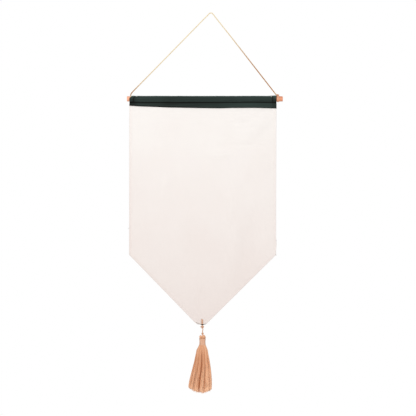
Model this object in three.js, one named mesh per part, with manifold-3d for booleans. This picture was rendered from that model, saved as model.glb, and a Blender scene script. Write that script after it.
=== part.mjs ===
// A fabric wall banner: an ivory canvas pennant that hangs from a wooden dowel in a dark green heading band,
// with a hanging cord over a wall hook and a yarn tassel at its tip.
// Millimetres, +Z up, the front towards -Y. The origin is under the cord's bend, where the hook carries it.
// The pieces are laid out from the dowel's axis (z = 0) and the cloth's centre line (x = 0), and the whole
// banner is then set under the hook.
import * as THREE from "three";
import { mergeVertices } from "three/addons/utils/BufferGeometryUtils.js";
import Module from "manifold-3d";

const wasm = await Module();
wasm.setup();

// ---- driving dimensions ----
const HOOK = { x: 17, z: 174 }; // the hook, from the cloth's centre line and the dowel's axis
const DOWEL = { radius: 5.3, left: -154.5, right: 163.5, chamfer: 0.5 };
const CLOTH = 1; // thickness of one layer of cloth
const GAP = 0.3; // clearance between pieces that touch in the real banner

const PANEL = {
  top: -10,
  corner: -317.6,
  tip: -459.5,
  left: -150,
  tipLeft: -12.2,
  tipRight: 6.7,
  tipRound: { height: 4, left: 3.6, right: 1.6 },
  hem: 7,
  hemStep: 1,
  hemThickness: 1.6,
  flatAbove: -25, // flat between the flanges down to here
  foldsBelow: -40, // folds and hems at full size from here down
  tautNearTip: 40, // folds fade out over this height above the tip
  columns: 34,
  bodyRows: 30,
  pointRows: 12,
};
const BAND = {
  left: -149.1,
  right: 150.3,
  crease: -7.4,
  pocketInside: DOWEL.radius + GAP,
  creaseInside: 0.3,
  flangeInside: 1.1,
  mouthFlare: 1.8, // how far the left mouth stands open over the tie, least at the top
  flareFrom: 3.5,
  flareTo: 9,
  topEase: 0.8,
  slantFront: 5, // how far the mouth's upper edge is drawn back in front and at the back
  slantBack: 8.5,
  slantReach: 20,
  mouth: [0, 2.4, 4.8, 8.4, 13], // columns near the mouth, from the strip's left end
  evenFrom: 20, // and even spans from here to the right end
  spans: 18,
};
// Angles round the dowel, in degrees up from the front or the back, over which the mouth's shape changes.
const MOUTH_ANGLES = { slantFront: [0, 56], slantBack: [0, 30], under: [-60, -30], topEase: [52, 88] };
const CORD = { diameter: 2, sides: 8, steps: 78 };
const TIE = {
  left: -148.6,
  right: 150.8,
  turns: 2,
  turnWidth: 2.1,
  height: 1.2,
  roundness: 1.8,
  crown: [-0.42, -0.2, 0.2, 0.42], // corners of one turn's rounded back, in shares of its width
  knot: [2.6, 2.4, 2.6],
  leftKnot: [-148.6, 6.9, 1.6], // behind the dowel
  rightKnot: [153.3, 0.3, 7.2], // on top of it
};
const HOLE = { x: -1.1, z: -449.4, diameter: 3.8 };
// The hanger is doubled through the hole: two strands side by side, apart by less than their diameter.
const HANGER = { diameter: 1.6, apart: 1.35, stem: 1.9, sides: 8, steps: 30, stemSteps: 12, tailSteps: 6 };
const HANGER_KNOT = { centre: [-0.6, 0, -464.7], radii: [3, 2.4, 2.5] };
const STEM_KNOT = { centre: [-0.5, 0, -479.6], radii: [1.9, 1.8, 1.9] };
const SIDES = { dowel: 32, tie: 24, sleeve: 28, hole: 16, knotRound: 14, knotHigh: 10 };
const CUTTER = 30; // length of the cylinders that cut the hole and the knots' seats

// ---- tables ----
// The panel's right edge, straight between rows: a little wider at the top, with a slack bulge in its hem.
const RIGHT_EDGE = [
  { z: -10, x: 150.6 },
  { z: -60, x: 150.2 },
  { z: -180, x: 149.6 },
  { z: -282, x: 149.4 },
  { z: -295, x: 150.6 },
  { z: -306, x: 149.6 },
  { z: -317.6, x: 149.5 },
];
// The lower edge of the heading's flange, cut a little out of level.
const FLANGE_EDGE = [
  { x: -150, z: -14 },
  { x: -128, z: -15.3 },
  { x: -79, z: -17.3 },
  { x: -13, z: -18.7 },
  { x: 35, z: -19.3 },
  { x: 60, z: -18.7 },
  { x: 109, z: -18.5 },
  { x: 150.3, z: -19.6 },
];
// Soft folds of the panel: centre, direction of the ridge in degrees from +X, half length, half width and
// height towards the back. A negative height is a ridge towards the front.
const FOLDS = [
  { x: 84, z: -49, angle: 2, length: 22, width: 9, height: 1.4 },
  { x: 109, z: -58, angle: 45, length: 40, width: 13, height: -2 },
  { x: 88, z: -94, angle: 1, length: 36, width: 9, height: 0.8 },
  { x: 40, z: -114, angle: -2, length: 22, width: 9, height: -1.3 },
  { x: -70, z: -70, angle: 12, length: 60, width: 18, height: 0.9 },
  { x: -70, z: -170, angle: 80, length: 26, width: 9, height: -0.9 },
  { x: 58, z: -222, angle: 88, length: 34, width: 10, height: -1 },
  { x: 66, z: -300, angle: 87, length: 76, width: 15, height: -2.2 },
  { x: 110, z: -262, angle: 94, length: 56, width: 14, height: 1.6 },
  { x: -96, z: -270, angle: 102, length: 70, width: 26, height: -1.6 },
  { x: -34, z: -330, angle: 74, length: 76, width: 22, height: 1.3 },
  { x: -3, z: -418, angle: 90, length: 30, width: 6, height: 0.9 },
  { x: 150, z: -300, angle: 60, length: 70, width: 34, height: -2.6 },
  { x: -150, z: -310, angle: 116, length: 60, width: 30, height: -2 },
];
// The hanging cord's centre line: up from the left tie, over the hook in a small bend, and down to the right.
const CORD_ROUTE = [
  [-147, 0, 7.6],
  [-146.4, 0, 8.8],
  [-145.5, 0, 11],
  [-143.7, 0, 13.2],
  [-93, 0, 65],
  [-39.2, 0, 120],
  [9.7, 0, 169.9],
  [12.3, 0, 172.6],
  [14.5, 0, 174.4],
  [17, 0, 175],
  [19.1, 0, 174.5],
  [20.7, 0, 172.9],
  [23.1, 0, 169.9],
  [64, 0, 118.2],
  [107, 0, 63],
  [145.5, 0, 13.6],
  [150.1, 0, 8.5],
].map((point) => new THREE.Vector3(...point));
// The hanger, midway between its strands: up the front from the knot, through the hole, down the back.
const HANGER_ROUTE = [
  [-0.5, -1.2, -461.8],
  [-0.7, -2.1, -458.6],
  [-1, -2.3, -454.6],
  [-1.1, -2.2, -451.2],
  [-1.1, -1.3, -449.6],
  [-1.1, 0, -449.1],
  [-1.1, 1.3, -449.6],
  [-1.1, 2.2, -451.2],
  [-1, 2.3, -454.6],
  [-0.7, 2.1, -458.6],
  [-0.5, 1.2, -461.8],
].map((point) => new THREE.Vector3(...point));
const STEM_ROUTE = [
  [-0.2, 0, -467.6],
  [0.4, 0.1, -469.4],
  [-0.1, -0.1, -472.5],
  [-0.6, 0, -475],
  [-0.4, 0, -477.3],
].map((point) => new THREE.Vector3(...point));
const KNOT_TAIL = [
  [-2, -0.3, -464.7],
  [-4, -0.8, -464.5],
  [-5.6, -1, -463.9],
].map((point) => new THREE.Vector3(...point));
// The tassel's yarn, from the folded loops at its top to the cut ends: extents to the left and right of the
// cloth's centre line, half depth, and how deep the strands' grooves are.
const YARN = [
  { z: -481.6, left: -4.6, right: 3.6, depth: 3.2, groove: 0 },
  { z: -482.6, left: -6.6, right: 5.6, depth: 5, groove: 0 },
  { z: -484.6, left: -7.3, right: 6.3, depth: 5.8, groove: 0 },
  { z: -486.4, left: -7, right: 6, depth: 5.6, groove: 0 },
  { z: -487.4, left: -5.8, right: 4.8, depth: 4.8, groove: 0 },
  { z: -495, left: -5.5, right: 4.5, depth: 4.6, groove: 0 },
  { z: -501.9, left: -5.8, right: 4.8, depth: 4.8, groove: 0 },
  { z: -503.2, left: -7.6, right: 6.2, depth: 5.6, groove: 0.1 },
  { z: -507, left: -10.4, right: 9, depth: 7.2, groove: 0.3 },
  { z: -511.4, left: -13.2, right: 11, depth: 8.6, groove: 0.4 },
  { z: -523.6, left: -15.6, right: 13.2, depth: 10.4, groove: 0.6 },
  { z: -536, left: -17.8, right: 15.3, depth: 11.8, groove: 0.8 },
  { z: -548, left: -21.2, right: 17.2, depth: 13, groove: 0.9 },
  { z: -560.3, left: -24, right: 18.8, depth: 14, groove: 1 },
  { z: -572.5, left: -27, right: 19.4, depth: 14.8, groove: 1 },
  { z: -584, left: -29.3, right: 19.6, depth: 15.2, groove: 1 },
  { z: -598, left: -29.6, right: 19.2, depth: 15.2, groove: 1 },
];
// Deep grooves of the skirt: direction round the tassel in degrees (-90 is the front) and depth.
const YARN_GROOVES = [
  { angle: -92, width: 7, depth: 3.4 },
  { angle: -68, width: 8, depth: 0.8 },
  { angle: -124, width: 9, depth: 1.3 },
  { angle: 12, width: 10, depth: 1.2 },
  { angle: 75, width: 10, depth: 2.2 },
  { angle: 140, width: 11, depth: 1.4 },
];
const TASSEL = {
  x: -0.5,
  sides: 44,
  ripples: 15, // shallow strands round the skirt, their depth and turn
  ripple: 0.55,
  rippleTurn: 1.3,
  crownTop: -481,
  crownBase: -487,
  notch: 2, // dip between the loops at the top
  endsFrom: -560, // the cut ends curve up from here, by tipLift at reachLeft or reachRight from the middle
  endsTo: -597,
  tipLift: 10,
  reachLeft: 29,
  reachRight: 23,
};
const BINDING = { top: -487.9, bottom: -501.4, wall: 1.3, waist: 0.35, rounding: 0.35, rings: 8, sides: 32 };

// ---- shared geometry ----
const { lerp, clamp, smoothstep, degToRad } = THREE.MathUtils;

// A value between the rows of a table, straight from row to row.
function alongTable(rows, key, at, column) {
  const ordered = [...rows].sort((a, b) => a[key] - b[key]);
  const next = ordered.findIndex((row) => row[key] >= at);
  if (next <= 0) return ordered[next === 0 ? 0 : ordered.length - 1][column];
  const [low, high] = [ordered[next - 1], ordered[next]];
  return lerp(low[column], high[column], (at - low[key]) / (high[key] - low[key]));
}

function geometryOf(points, faces) {
  const geometry = new THREE.BufferGeometry();
  geometry.setAttribute("position", new THREE.Float32BufferAttribute(points.flat(), 3));
  geometry.setIndex(faces.flat());
  geometry.computeVertexNormals();
  return geometry;
}

// A closed sheet on a grid of columns and rows: pointAt(column, row, face) gives the point on face 0 or 1.
// Seen from face 0, columns run to the right and rows run down.
function sheetGeometry(columns, rows, pointAt) {
  const points = [];
  const faces = [];
  const count = columns * rows;
  const index = (column, row, face) => face * count + row * columns + column;
  for (const face of [0, 1]) {
    for (let row = 0; row < rows; row += 1) {
      for (let column = 0; column < columns; column += 1) points.push(pointAt(column, row, face));
    }
  }
  for (let row = 0; row + 1 < rows; row += 1) {
    for (let column = 0; column + 1 < columns; column += 1) {
      for (const face of [0, 1]) {
        const a = index(column, row, face);
        const b = index(column + 1, row, face);
        const c = index(column + 1, row + 1, face);
        const d = index(column, row + 1, face);
        faces.push(face === 0 ? [a, d, c, a, c, b] : [a, c, d, a, b, c]);
      }
    }
  }
  const rim = [];
  for (let column = 0; column + 1 < columns; column += 1) rim.push([column, 0]);
  for (let row = 0; row + 1 < rows; row += 1) rim.push([columns - 1, row]);
  for (let column = columns - 1; column > 0; column -= 1) rim.push([column, rows - 1]);
  for (let row = rows - 1; row > 0; row -= 1) rim.push([0, row]);
  rim.forEach((here, i) => {
    const next = rim[(i + 1) % rim.length];
    const [a, b] = [index(...here, 0), index(...next, 0)];
    const [c, d] = [index(...next, 1), index(...here, 1)];
    faces.push([a, b, c, a, c, d]);
  });
  return geometryOf(points, faces);
}

// A closed body of rings from top to bottom, each end closed by a fan: pointAt(ring, side) gives a point, and
// the sides run anticlockwise seen from above.
function ringGeometry(rings, sides, pointAt) {
  const points = [];
  const faces = [];
  const centreOf = (ring) => {
    const sum = new THREE.Vector3();
    for (let side = 0; side < sides; side += 1) sum.add(new THREE.Vector3(...pointAt(ring, side)));
    return sum.divideScalar(sides).toArray();
  };
  for (let ring = 0; ring < rings; ring += 1) {
    for (let side = 0; side < sides; side += 1) points.push(pointAt(ring, side));
  }
  const top = points.push(centreOf(0)) - 1;
  const bottom = points.push(centreOf(rings - 1)) - 1;
  const last = (rings - 1) * sides;
  for (let side = 0; side < sides; side += 1) {
    const next = (side + 1) % sides;
    for (let ring = 0; ring + 1 < rings; ring += 1) {
      const [a, b] = [ring * sides + side, ring * sides + next];
      faces.push([a, a + sides, b + sides, a, b + sides, b]);
    }
    faces.push([top, side, next]);
    faces.push([bottom, last + next, last + side]);
  }
  return geometryOf(points, faces);
}

// A round tube along a smooth route.
function tubeGeometry(route, diameter, sides, steps) {
  const section = new THREE.Shape(
    Array.from({ length: sides }, (_, i) => {
      const angle = (2 * Math.PI * i) / sides;
      return new THREE.Vector2(Math.cos(angle), Math.sin(angle)).multiplyScalar(diameter / 2);
    }),
  );
  const extrudePath = new THREE.CatmullRomCurve3(route, false, "centripetal");
  return new THREE.ExtrudeGeometry(section, { steps, extrudePath, bevelEnabled: false });
}

// A solid of revolution round the X axis from a closed or axis-to-axis list of [x, radius].
function turnedGeometry(profile, sides) {
  const outline = profile.map(([along, radius]) => new THREE.Vector2(radius, along));
  return new THREE.LatheGeometry(outline, sides).rotateZ(-Math.PI / 2);
}

function ellipsoidGeometry([x, y, z], [radiusX, radiusY, radiusZ]) {
  const ball = new THREE.SphereGeometry(1, SIDES.knotRound, SIDES.knotHigh);
  return ball.scale(radiusX, radiusY, radiusZ).translate(x, y, z);
}

function solidOf(geometry) {
  const bare = geometry.clone();
  bare.deleteAttribute("normal");
  bare.deleteAttribute("uv");
  const merged = mergeVertices(bare, 1e-4);
  const vertProperties = merged.attributes.position.array;
  const triVerts = new Uint32Array(merged.index.array);
  return new wasm.Manifold(new wasm.Mesh({ numProp: 3, vertProperties, triVerts }));
}

function geometryFrom(solid) {
  const mesh = solid.getMesh();
  const geometry = new THREE.BufferGeometry();
  geometry.setAttribute("position", new THREE.BufferAttribute(mesh.vertProperties, 3));
  geometry.setIndex(new THREE.BufferAttribute(mesh.triVerts, 1));
  geometry.computeVertexNormals();
  return geometry;
}

// ---- the pennant panel ----
// Distance of the folds' surface from the hanging plane, fading out under the heading.
function foldDepth(x, z) {
  let depth = 0;
  for (const fold of FOLDS) {
    const angle = degToRad(fold.angle);
    const [dx, dz] = [x - fold.x, z - fold.z];
    const along = (dx * Math.cos(angle) + dz * Math.sin(angle)) / fold.length;
    const across = (dz * Math.cos(angle) - dx * Math.sin(angle)) / fold.width;
    depth += fold.height * Math.exp(-(along * along + across * across));
  }
  const underBand = 1 - smoothstep(z, PANEL.foldsBelow, PANEL.flatAbove);
  const aboveTip = smoothstep(z, PANEL.tip, PANEL.tip + PANEL.tautNearTip);
  return depth * underBand * aboveTip;
}

// The panel's left and right edge at a height, with the blunt tip's corners rounded off.
function panelEdges(z) {
  const down = clamp((PANEL.corner - z) / (PANEL.corner - PANEL.tip), 0, 1);
  const cornerRight = alongTable(RIGHT_EDGE, "z", PANEL.corner, "x");
  const left = lerp(PANEL.left, PANEL.tipLeft, down);
  const right = down > 0 ? lerp(cornerRight, PANEL.tipRight, down) : alongTable(RIGHT_EDGE, "z", z, "x");
  const height = clamp((z - PANEL.tip) / PANEL.tipRound.height, 0, 1);
  const round = 1 - Math.sqrt(1 - (1 - height) ** 2);
  return { left: left + round * PANEL.tipRound.left, right: right - round * PANEL.tipRound.right };
}

// Columns stand at the edges, on both sides of each hem's inner edge, and evenly between the hems.
function panelGeometry() {
  const { columns, bodyRows, pointRows } = PANEL;
  const tipHeights = [1, 0.55, 0.25, 0.08, 0].map(
    (share) => PANEL.tip + share * PANEL.tipRound.height,
  );
  const heights = [
    ...Array.from({ length: bodyRows }, (_, i) => lerp(PANEL.top, PANEL.corner, i / bodyRows)),
    ...Array.from({ length: pointRows }, (_, i) => lerp(PANEL.corner, tipHeights[0], i / pointRows)),
    ...tipHeights,
  ];
  const pointAt = (column, row, face) => {
    const z = heights[row];
    const { left, right } = panelEdges(z);
    const slant = z < PANEL.corner ? Math.SQRT2 : 1;
    const hem = Math.min(PANEL.hem * slant, (right - left) / 4);
    const step = Math.min(PANEL.hemStep, hem / 8);
    const fromLeft = Math.min(column, 2);
    const fromRight = Math.min(columns - 1 - column, 2);
    const inset = [0, hem - step, hem];
    const inner = (column - 2) / (columns - 5);
    let x = lerp(left + hem, right - hem, inner);
    if (fromLeft < 2) x = left + inset[fromLeft];
    if (fromRight < 2) x = right - inset[fromRight];
    const hemmed = Math.min(fromLeft, fromRight) < 2 && z < PANEL.foldsBelow;
    const half = (hemmed ? PANEL.hemThickness : CLOTH) / 2;
    return [x, foldDepth(x, z) + (face === 0 ? -half : half), z];
  };
  const sheet = solidOf(sheetGeometry(columns, heights.length, pointAt));
  const punch = new THREE.CylinderGeometry(HOLE.diameter / 2, HOLE.diameter / 2, CUTTER, SIDES.hole);
  return geometryFrom(sheet.subtract(solidOf(punch.translate(HOLE.x, 0, HOLE.z))));
}

// ---- the heading band ----
// One strip round the dowel, from the front flange's lower edge over the top to the back flange's.
// Each row of its section: the share of the flange that lies below it, or the angle round the dowel.
const BAND_SECTION = [
  ...[1, 0.5, 0.15].map((flange) => ({ side: -1, flange })),
  { side: -1, flange: 0 },
  ...[-43, -22, 0, 23, 46, 69].map((angle) => ({ side: -1, angle })),
  { side: 1, angle: 90 },
  ...[69, 46, 23, 0, -22, -43].map((angle) => ({ side: 1, angle })),
  { side: 1, flange: 0 },
  ...[0.15, 0.5, 1].map((flange) => ({ side: 1, flange })),
];

// How far the strip's left end is drawn back: the mouth is slanted off above the dowel in front, and open
// over the cord's tie at the back.
function mouthSetback({ side, angle }) {
  if (angle === undefined) return 0;
  if (side < 0) return BAND.slantFront * smoothstep(angle, ...MOUTH_ANGLES.slantFront);
  const fromTop = smoothstep(90 - angle, ...MOUTH_ANGLES.slantBack);
  return lerp(BAND.slantFront, BAND.slantBack, fromTop) * smoothstep(angle, ...MOUTH_ANGLES.under);
}

function mouthFlare(station, angle) {
  const nearMouth = 1 - smoothstep(station, BAND.flareFrom, BAND.flareTo);
  return BAND.mouthFlare * nearMouth * (1 - BAND.topEase * smoothstep(angle, ...MOUTH_ANGLES.topEase));
}

function bandGeometry() {
  const length = BAND.right - BAND.left;
  const even = Array.from({ length: BAND.spans + 1 }, (_, i) => lerp(BAND.evenFrom, length, i / BAND.spans));
  const stations = [...BAND.mouth, ...even];
  const pointAt = (column, row, face) => {
    const place = BAND_SECTION[row];
    const station = stations[column];
    const setback = mouthSetback(place) * (1 - smoothstep(station, 0, BAND.slantReach));
    const x = BAND.left + station + setback;
    const out = face === 0 ? CLOTH : 0;
    if (place.flange !== undefined) {
      const edge = alongTable(FLANGE_EDGE, "x", x, "z");
      const spread = smoothstep(place.flange, 0, 0.15);
      const inside = lerp(BAND.creaseInside, BAND.flangeInside, spread);
      return [x, place.side * (inside + out), lerp(BAND.crease, edge, place.flange)];
    }
    const radius = BAND.pocketInside + mouthFlare(station, place.angle) + out;
    const angle = degToRad(place.angle);
    return [x, place.side * radius * Math.cos(angle), radius * Math.sin(angle)];
  };
  return sheetGeometry(stations.length, BAND_SECTION.length, (column, row, face) =>
    pointAt(column, BAND_SECTION.length - 1 - row, face),
  );
}

// ---- dowel, ties and cords ----
function dowelGeometry() {
  const { radius, left, right, chamfer } = DOWEL;
  const profile = [
    [left, 0],
    [left, radius - chamfer],
    [left + chamfer, radius],
    [right - chamfer, radius],
    [right, radius - chamfer],
    [right, 0],
  ];
  return turnedGeometry(profile, SIDES.dowel);
}

// Turns of cord side by side round the dowel, joined to their knot.
function tieGeometry(start, knotCentre) {
  const inside = DOWEL.radius + GAP;
  const width = TIE.turns * TIE.turnWidth;
  const profile = [[start, inside]];
  for (let turn = 0; turn < TIE.turns; turn += 1) {
    const middle = start + (turn + 0.5) * TIE.turnWidth;
    for (const share of TIE.crown) {
      const height = TIE.height * Math.sqrt(1 - (TIE.roundness * share) ** 2);
      profile.push([middle + share * TIE.turnWidth, inside + height]);
    }
  }
  profile.push([start + width, inside], [start, inside]);
  const turns = solidOf(turnedGeometry(profile, SIDES.tie));
  const knot = solidOf(ellipsoidGeometry(knotCentre, TIE.knot));
  const sleeve = new THREE.CylinderGeometry(inside, inside, CUTTER, SIDES.sleeve).rotateZ(Math.PI / 2);
  return geometryFrom(turns.add(knot.subtract(solidOf(sleeve.translate(start, 0, 0)))));
}

function hangerGeometry(route, steps, diameter = HANGER.diameter) {
  return tubeGeometry(route, diameter, HANGER.sides, steps);
}

function doubledHangerGeometry() {
  const strands = [-HANGER.apart / 2, HANGER.apart / 2].map((offset) =>
    solidOf(hangerGeometry(HANGER_ROUTE, HANGER.steps).translate(offset, 0, 0)),
  );
  return geometryFrom(strands[0].add(strands[1]));
}

function knotGeometry() {
  const knot = solidOf(ellipsoidGeometry(HANGER_KNOT.centre, HANGER_KNOT.radii));
  return geometryFrom(knot.add(solidOf(hangerGeometry(KNOT_TAIL, HANGER.tailSteps))));
}

// ---- the tassel ----
function yarnPoint(row, angle) {
  const { z, left, right, depth, groove } = row;
  const middle = (left + right) / 2;
  const half = (right - left) / 2;
  let cut = TASSEL.ripple * Math.cos(TASSEL.ripples * angle + TASSEL.rippleTurn) * groove;
  for (const deep of YARN_GROOVES) {
    let away = THREE.MathUtils.radToDeg(angle) - deep.angle;
    away -= 360 * Math.round(away / 360);
    cut -= deep.depth * groove * Math.exp(-((away / deep.width) ** 2));
  }
  const x = middle + (half + cut) * Math.cos(angle);
  const y = (depth + cut) * Math.sin(angle);
  const nearTop = smoothstep(z, TASSEL.crownBase, TASSEL.crownTop);
  const nearEnd = 1 - smoothstep(z, TASSEL.endsTo, TASSEL.endsFrom);
  const reach = x < TASSEL.x ? TASSEL.reachLeft : TASSEL.reachRight;
  const lift = TASSEL.tipLift * nearEnd * ((x - TASSEL.x) / reach) ** 2;
  const notch = TASSEL.notch * nearTop * (1 - clamp((2 * Math.abs(x - TASSEL.x)) / half, 0, 1));
  return [x, y, z + lift - notch];
}

function yarnGeometry() {
  return ringGeometry(YARN.length, TASSEL.sides, (ring, side) =>
    yarnPoint(YARN[ring], (2 * Math.PI * side) / TASSEL.sides),
  );
}

// The binding round the neck: a sleeve of even wall over the yarn's neck rows.
function bindingGeometry() {
  const { rings, sides } = BINDING;
  const outer = Array.from({ length: rings }, (_, i) => ({ share: i / (rings - 1), out: true }));
  const inner = [...outer].reverse().map(({ share }) => ({ share, out: false }));
  const loop = [...outer, ...inner];
  const points = [];
  const faces = [];
  for (let side = 0; side < sides; side += 1) {
    const angle = (2 * Math.PI * side) / sides;
    for (const { share, out } of loop) {
      const waist = BINDING.waist * Math.sin(Math.PI * share);
      const rounding = BINDING.rounding * Math.abs(2 * share - 1) ** 6;
      const grow = out ? GAP + BINDING.wall - rounding - waist : GAP;
      const z = lerp(BINDING.top, BINDING.bottom, share);
      const half = alongTable(YARN, "z", z, "right") - TASSEL.x + grow;
      const depth = alongTable(YARN, "z", z, "depth") + grow;
      points.push([TASSEL.x + half * Math.cos(angle), depth * Math.sin(angle), z]);
    }
  }
  for (let side = 0; side < sides; side += 1) {
    for (let i = 0; i < loop.length; i += 1) {
      const a = side * loop.length + i;
      const b = side * loop.length + ((i + 1) % loop.length);
      const c = (((side + 1) % sides) - side) * loop.length;
      faces.push([a, b, b + c, a, b + c, a + c]);
    }
  }
  return geometryOf(points, faces);
}

// ---- assembly ----
const FINISHES = {
  canvas: { color: 0xf3ebe5, roughness: 0.9 },
  heading: { color: 0x2f3935, roughness: 0.85 },
  wood: { color: 0xe6a684, roughness: 0.55 },
  cord: { color: 0xd7af96, roughness: 0.85 },
  tie: { color: 0xcf9d7e, roughness: 0.85 },
  hanger: { color: 0xe0b193, roughness: 0.8 },
  yarn: { color: 0xd59f7e, roughness: 0.7 },
  binding: { color: 0xdeb59b, roughness: 0.6 },
};

const banner = new THREE.Group();
function addPiece(name, geometry, finish) {
  const mesh = new THREE.Mesh(geometry, new THREE.MeshStandardMaterial(finish));
  mesh.name = name;
  banner.add(mesh);
}

addPiece("canvas_panel", panelGeometry(), FINISHES.canvas);
addPiece("heading_band", bandGeometry(), FINISHES.heading);
addPiece("dowel", dowelGeometry(), FINISHES.wood);
addPiece("hanging_cord", tubeGeometry(CORD_ROUTE, CORD.diameter, CORD.sides, CORD.steps), FINISHES.cord);
addPiece("cord_tie_left", tieGeometry(TIE.left, TIE.leftKnot), FINISHES.tie);
addPiece("cord_tie_right", tieGeometry(TIE.right, TIE.rightKnot), FINISHES.tie);
addPiece("tassel_hanger", doubledHangerGeometry(), FINISHES.hanger);
addPiece("hanger_knot", knotGeometry(), FINISHES.hanger);
addPiece("hanger_stem", hangerGeometry(STEM_ROUTE, HANGER.stemSteps, HANGER.stem), FINISHES.hanger);
addPiece("stem_knot", ellipsoidGeometry(STEM_KNOT.centre, STEM_KNOT.radii), FINISHES.hanger);
addPiece("tassel_yarn", yarnGeometry(), FINISHES.yarn);
addPiece("tassel_binding", bindingGeometry(), FINISHES.binding);

banner.position.set(-HOOK.x, 0, -HOOK.z);
const part = new THREE.Group();
part.add(banner);

export default part;
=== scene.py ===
"""Looks of a fabric wall banner: ivory canvas pennant, dark green heading on a dowel, cord and tassel.

Every piece is worked out in millimetres from the cloth's centre line (x), the hanging plane (y) and the
dowel's axis (z), and `Site` sets it into the row frame in metres. The front faces -y.
"""

import logging
import math
from dataclasses import dataclass, field, replace
from enum import Enum

import bpy
import numpy as np
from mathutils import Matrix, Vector


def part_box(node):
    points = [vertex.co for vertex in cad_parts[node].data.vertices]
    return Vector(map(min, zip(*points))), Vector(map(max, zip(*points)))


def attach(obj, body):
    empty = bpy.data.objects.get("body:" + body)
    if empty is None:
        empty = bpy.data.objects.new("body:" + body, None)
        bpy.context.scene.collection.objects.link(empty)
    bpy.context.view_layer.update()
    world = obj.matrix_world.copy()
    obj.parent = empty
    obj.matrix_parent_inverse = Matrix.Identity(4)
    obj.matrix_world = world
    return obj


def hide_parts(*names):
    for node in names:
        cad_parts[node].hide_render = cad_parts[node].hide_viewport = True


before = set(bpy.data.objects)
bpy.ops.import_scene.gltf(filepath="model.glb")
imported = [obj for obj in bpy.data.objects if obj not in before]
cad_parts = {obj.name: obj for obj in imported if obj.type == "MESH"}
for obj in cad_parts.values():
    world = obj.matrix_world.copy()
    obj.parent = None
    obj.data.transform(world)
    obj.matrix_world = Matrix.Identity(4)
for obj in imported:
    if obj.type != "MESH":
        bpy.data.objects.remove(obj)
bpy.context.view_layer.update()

LOG = logging.getLogger("banner")
MM = 0.001
TURN = 2 * math.pi
GOLDEN = 0.61803  # share of a turn from one strand to the next, which spreads them evenly
PLAIN_TONE = 0.5
Array = np.ndarray


# ---------------------------------------------------------------- shared sizes
@dataclass(frozen=True)
class Site:
    """Where the banner hangs in the row frame.

    Attributes:
        centre: x of the cloth's centre line, in metres.
        axis: z of the dowel's axis, in metres.
    """

    centre: float
    axis: float

    @classmethod
    def from_frame(cls, left_reach: float = 154.5) -> "Site":
        """Read the site off the dowel, whose left end stands left_reach mm from the centre line."""
        low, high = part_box("dowel")
        return cls(low[0] + left_reach * MM, (low[2] + high[2]) / 2)

    def row(self, points: Array) -> Array:
        """Points in millimetres of the banner, as metres of the row frame."""
        return np.asarray(points, float) * MM + np.array([self.centre, 0.0, self.axis])


SITE = Site.from_frame()


@dataclass(frozen=True)
class PanelSizes:
    """Outline and hems of the pennant panel, in millimetres."""

    top: float = -10.0
    corner: float = -317.6
    tip: float = -459.5
    left: float = -150.0
    tip_left: float = -12.2
    tip_right: float = 6.7
    round_height: float = 4.0
    round_left: float = 3.6
    round_right: float = 1.6
    hem: float = 7.0
    flat_above: float = -25.0
    folds_below: float = -40.0
    taut_near_tip: float = 40.0
    right_edge: tuple = (
        (-317.6, 149.5),
        (-306.0, 149.6),
        (-295.0, 150.6),
        (-282.0, 149.4),
        (-180.0, 149.6),
        (-60.0, 150.2),
        (-10.0, 150.6),
    )


@dataclass(frozen=True)
class Fold:
    """One soft fold: a long low bump across the cloth; a positive height leans to the back."""

    x: float
    z: float
    angle: float
    length: float
    width: float
    height: float

    def depth(self, x: Array, z: Array) -> Array:
        """The bump's height over x, z: a bell along its ridge times a bell across it.

        Args:
            x: places across the cloth, in mm.
            z: places up the cloth, in mm.

        Returns:
            Distance from the hanging plane, in mm.
        """
        turn = math.radians(self.angle)
        dx, dz = x - self.x, z - self.z
        along = (dx * math.cos(turn) + dz * math.sin(turn)) / self.length
        across = (dz * math.cos(turn) - dx * math.sin(turn)) / self.width
        return self.height * bell(along) * bell(across)


FOLDS = (
    Fold(84, -49, 2, 22, 5.5, 2.1),
    Fold(109, -58, 45, 40, 13, -3.2),
    Fold(88, -94, 1, 36, 5, 1.3),
    Fold(40, -114, -2, 22, 7, -2.0),
    Fold(-70, -70, 12, 60, 18, 0.9),
    Fold(-70, -170, 80, 26, 9, -1.4),
    Fold(58, -222, 88, 34, 10, -1.6),
    Fold(66, -300, 87, 76, 15, -2.9),
    Fold(110, -262, 94, 56, 14, 2.2),
    Fold(-96, -270, 102, 70, 26, -1.6),
    Fold(-34, -330, 74, 76, 22, 1.3),
    Fold(-3, -418, 90, 30, 6, 0.9),
    Fold(150, -300, 60, 70, 34, -2.6),
    Fold(-150, -310, 116, 60, 30, -2.0),
)


# ---------------------------------------------------------------- arithmetic on whole arrays
def smooth(x: Array, low: float, high: float) -> Array:
    """0 below low, 1 above high, and an S-shaped cubic between."""
    t = np.clip((np.asarray(x, float) - low) / (high - low), 0, 1)
    return t * t * (3 - 2 * t)


def bell(away: Array, width: float = 1.0) -> Array:
    """1 where away is 0, and falling softly to nothing over about twice the width."""
    return np.exp(-((away / width) ** 2))


def edge_round(inset: Array, reach: float, least: float) -> Array:
    """Share of a sheet's thickness near its edge: a quarter circle over reach.

    Args:
        inset: distance from the edge.
        reach: distance over which the edge is round.
        least: square of the share that is kept at the very edge.

    Returns:
        Share of the thickness, 0 to 1.
    """
    return np.sqrt(np.clip(1 - (1 - np.clip(inset / reach, 0, 1)) ** 2, least, 1))


def run_along(line: Array) -> Array:
    """Distance of each point from the first, along the line."""
    return np.concatenate([[0], np.cumsum(np.linalg.norm(np.diff(line, axis=0), axis=1))])


def turn_steps(count: int) -> Array:
    """Angles of even steps round a full turn, in radians."""
    return np.arange(count) * TURN / count


def spots(x: Array, y: Array, z: Array) -> Array:
    """Points from their three coordinates, spread to one shape."""
    return np.stack(np.broadcast_arrays(x, y, z), -1)


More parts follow.
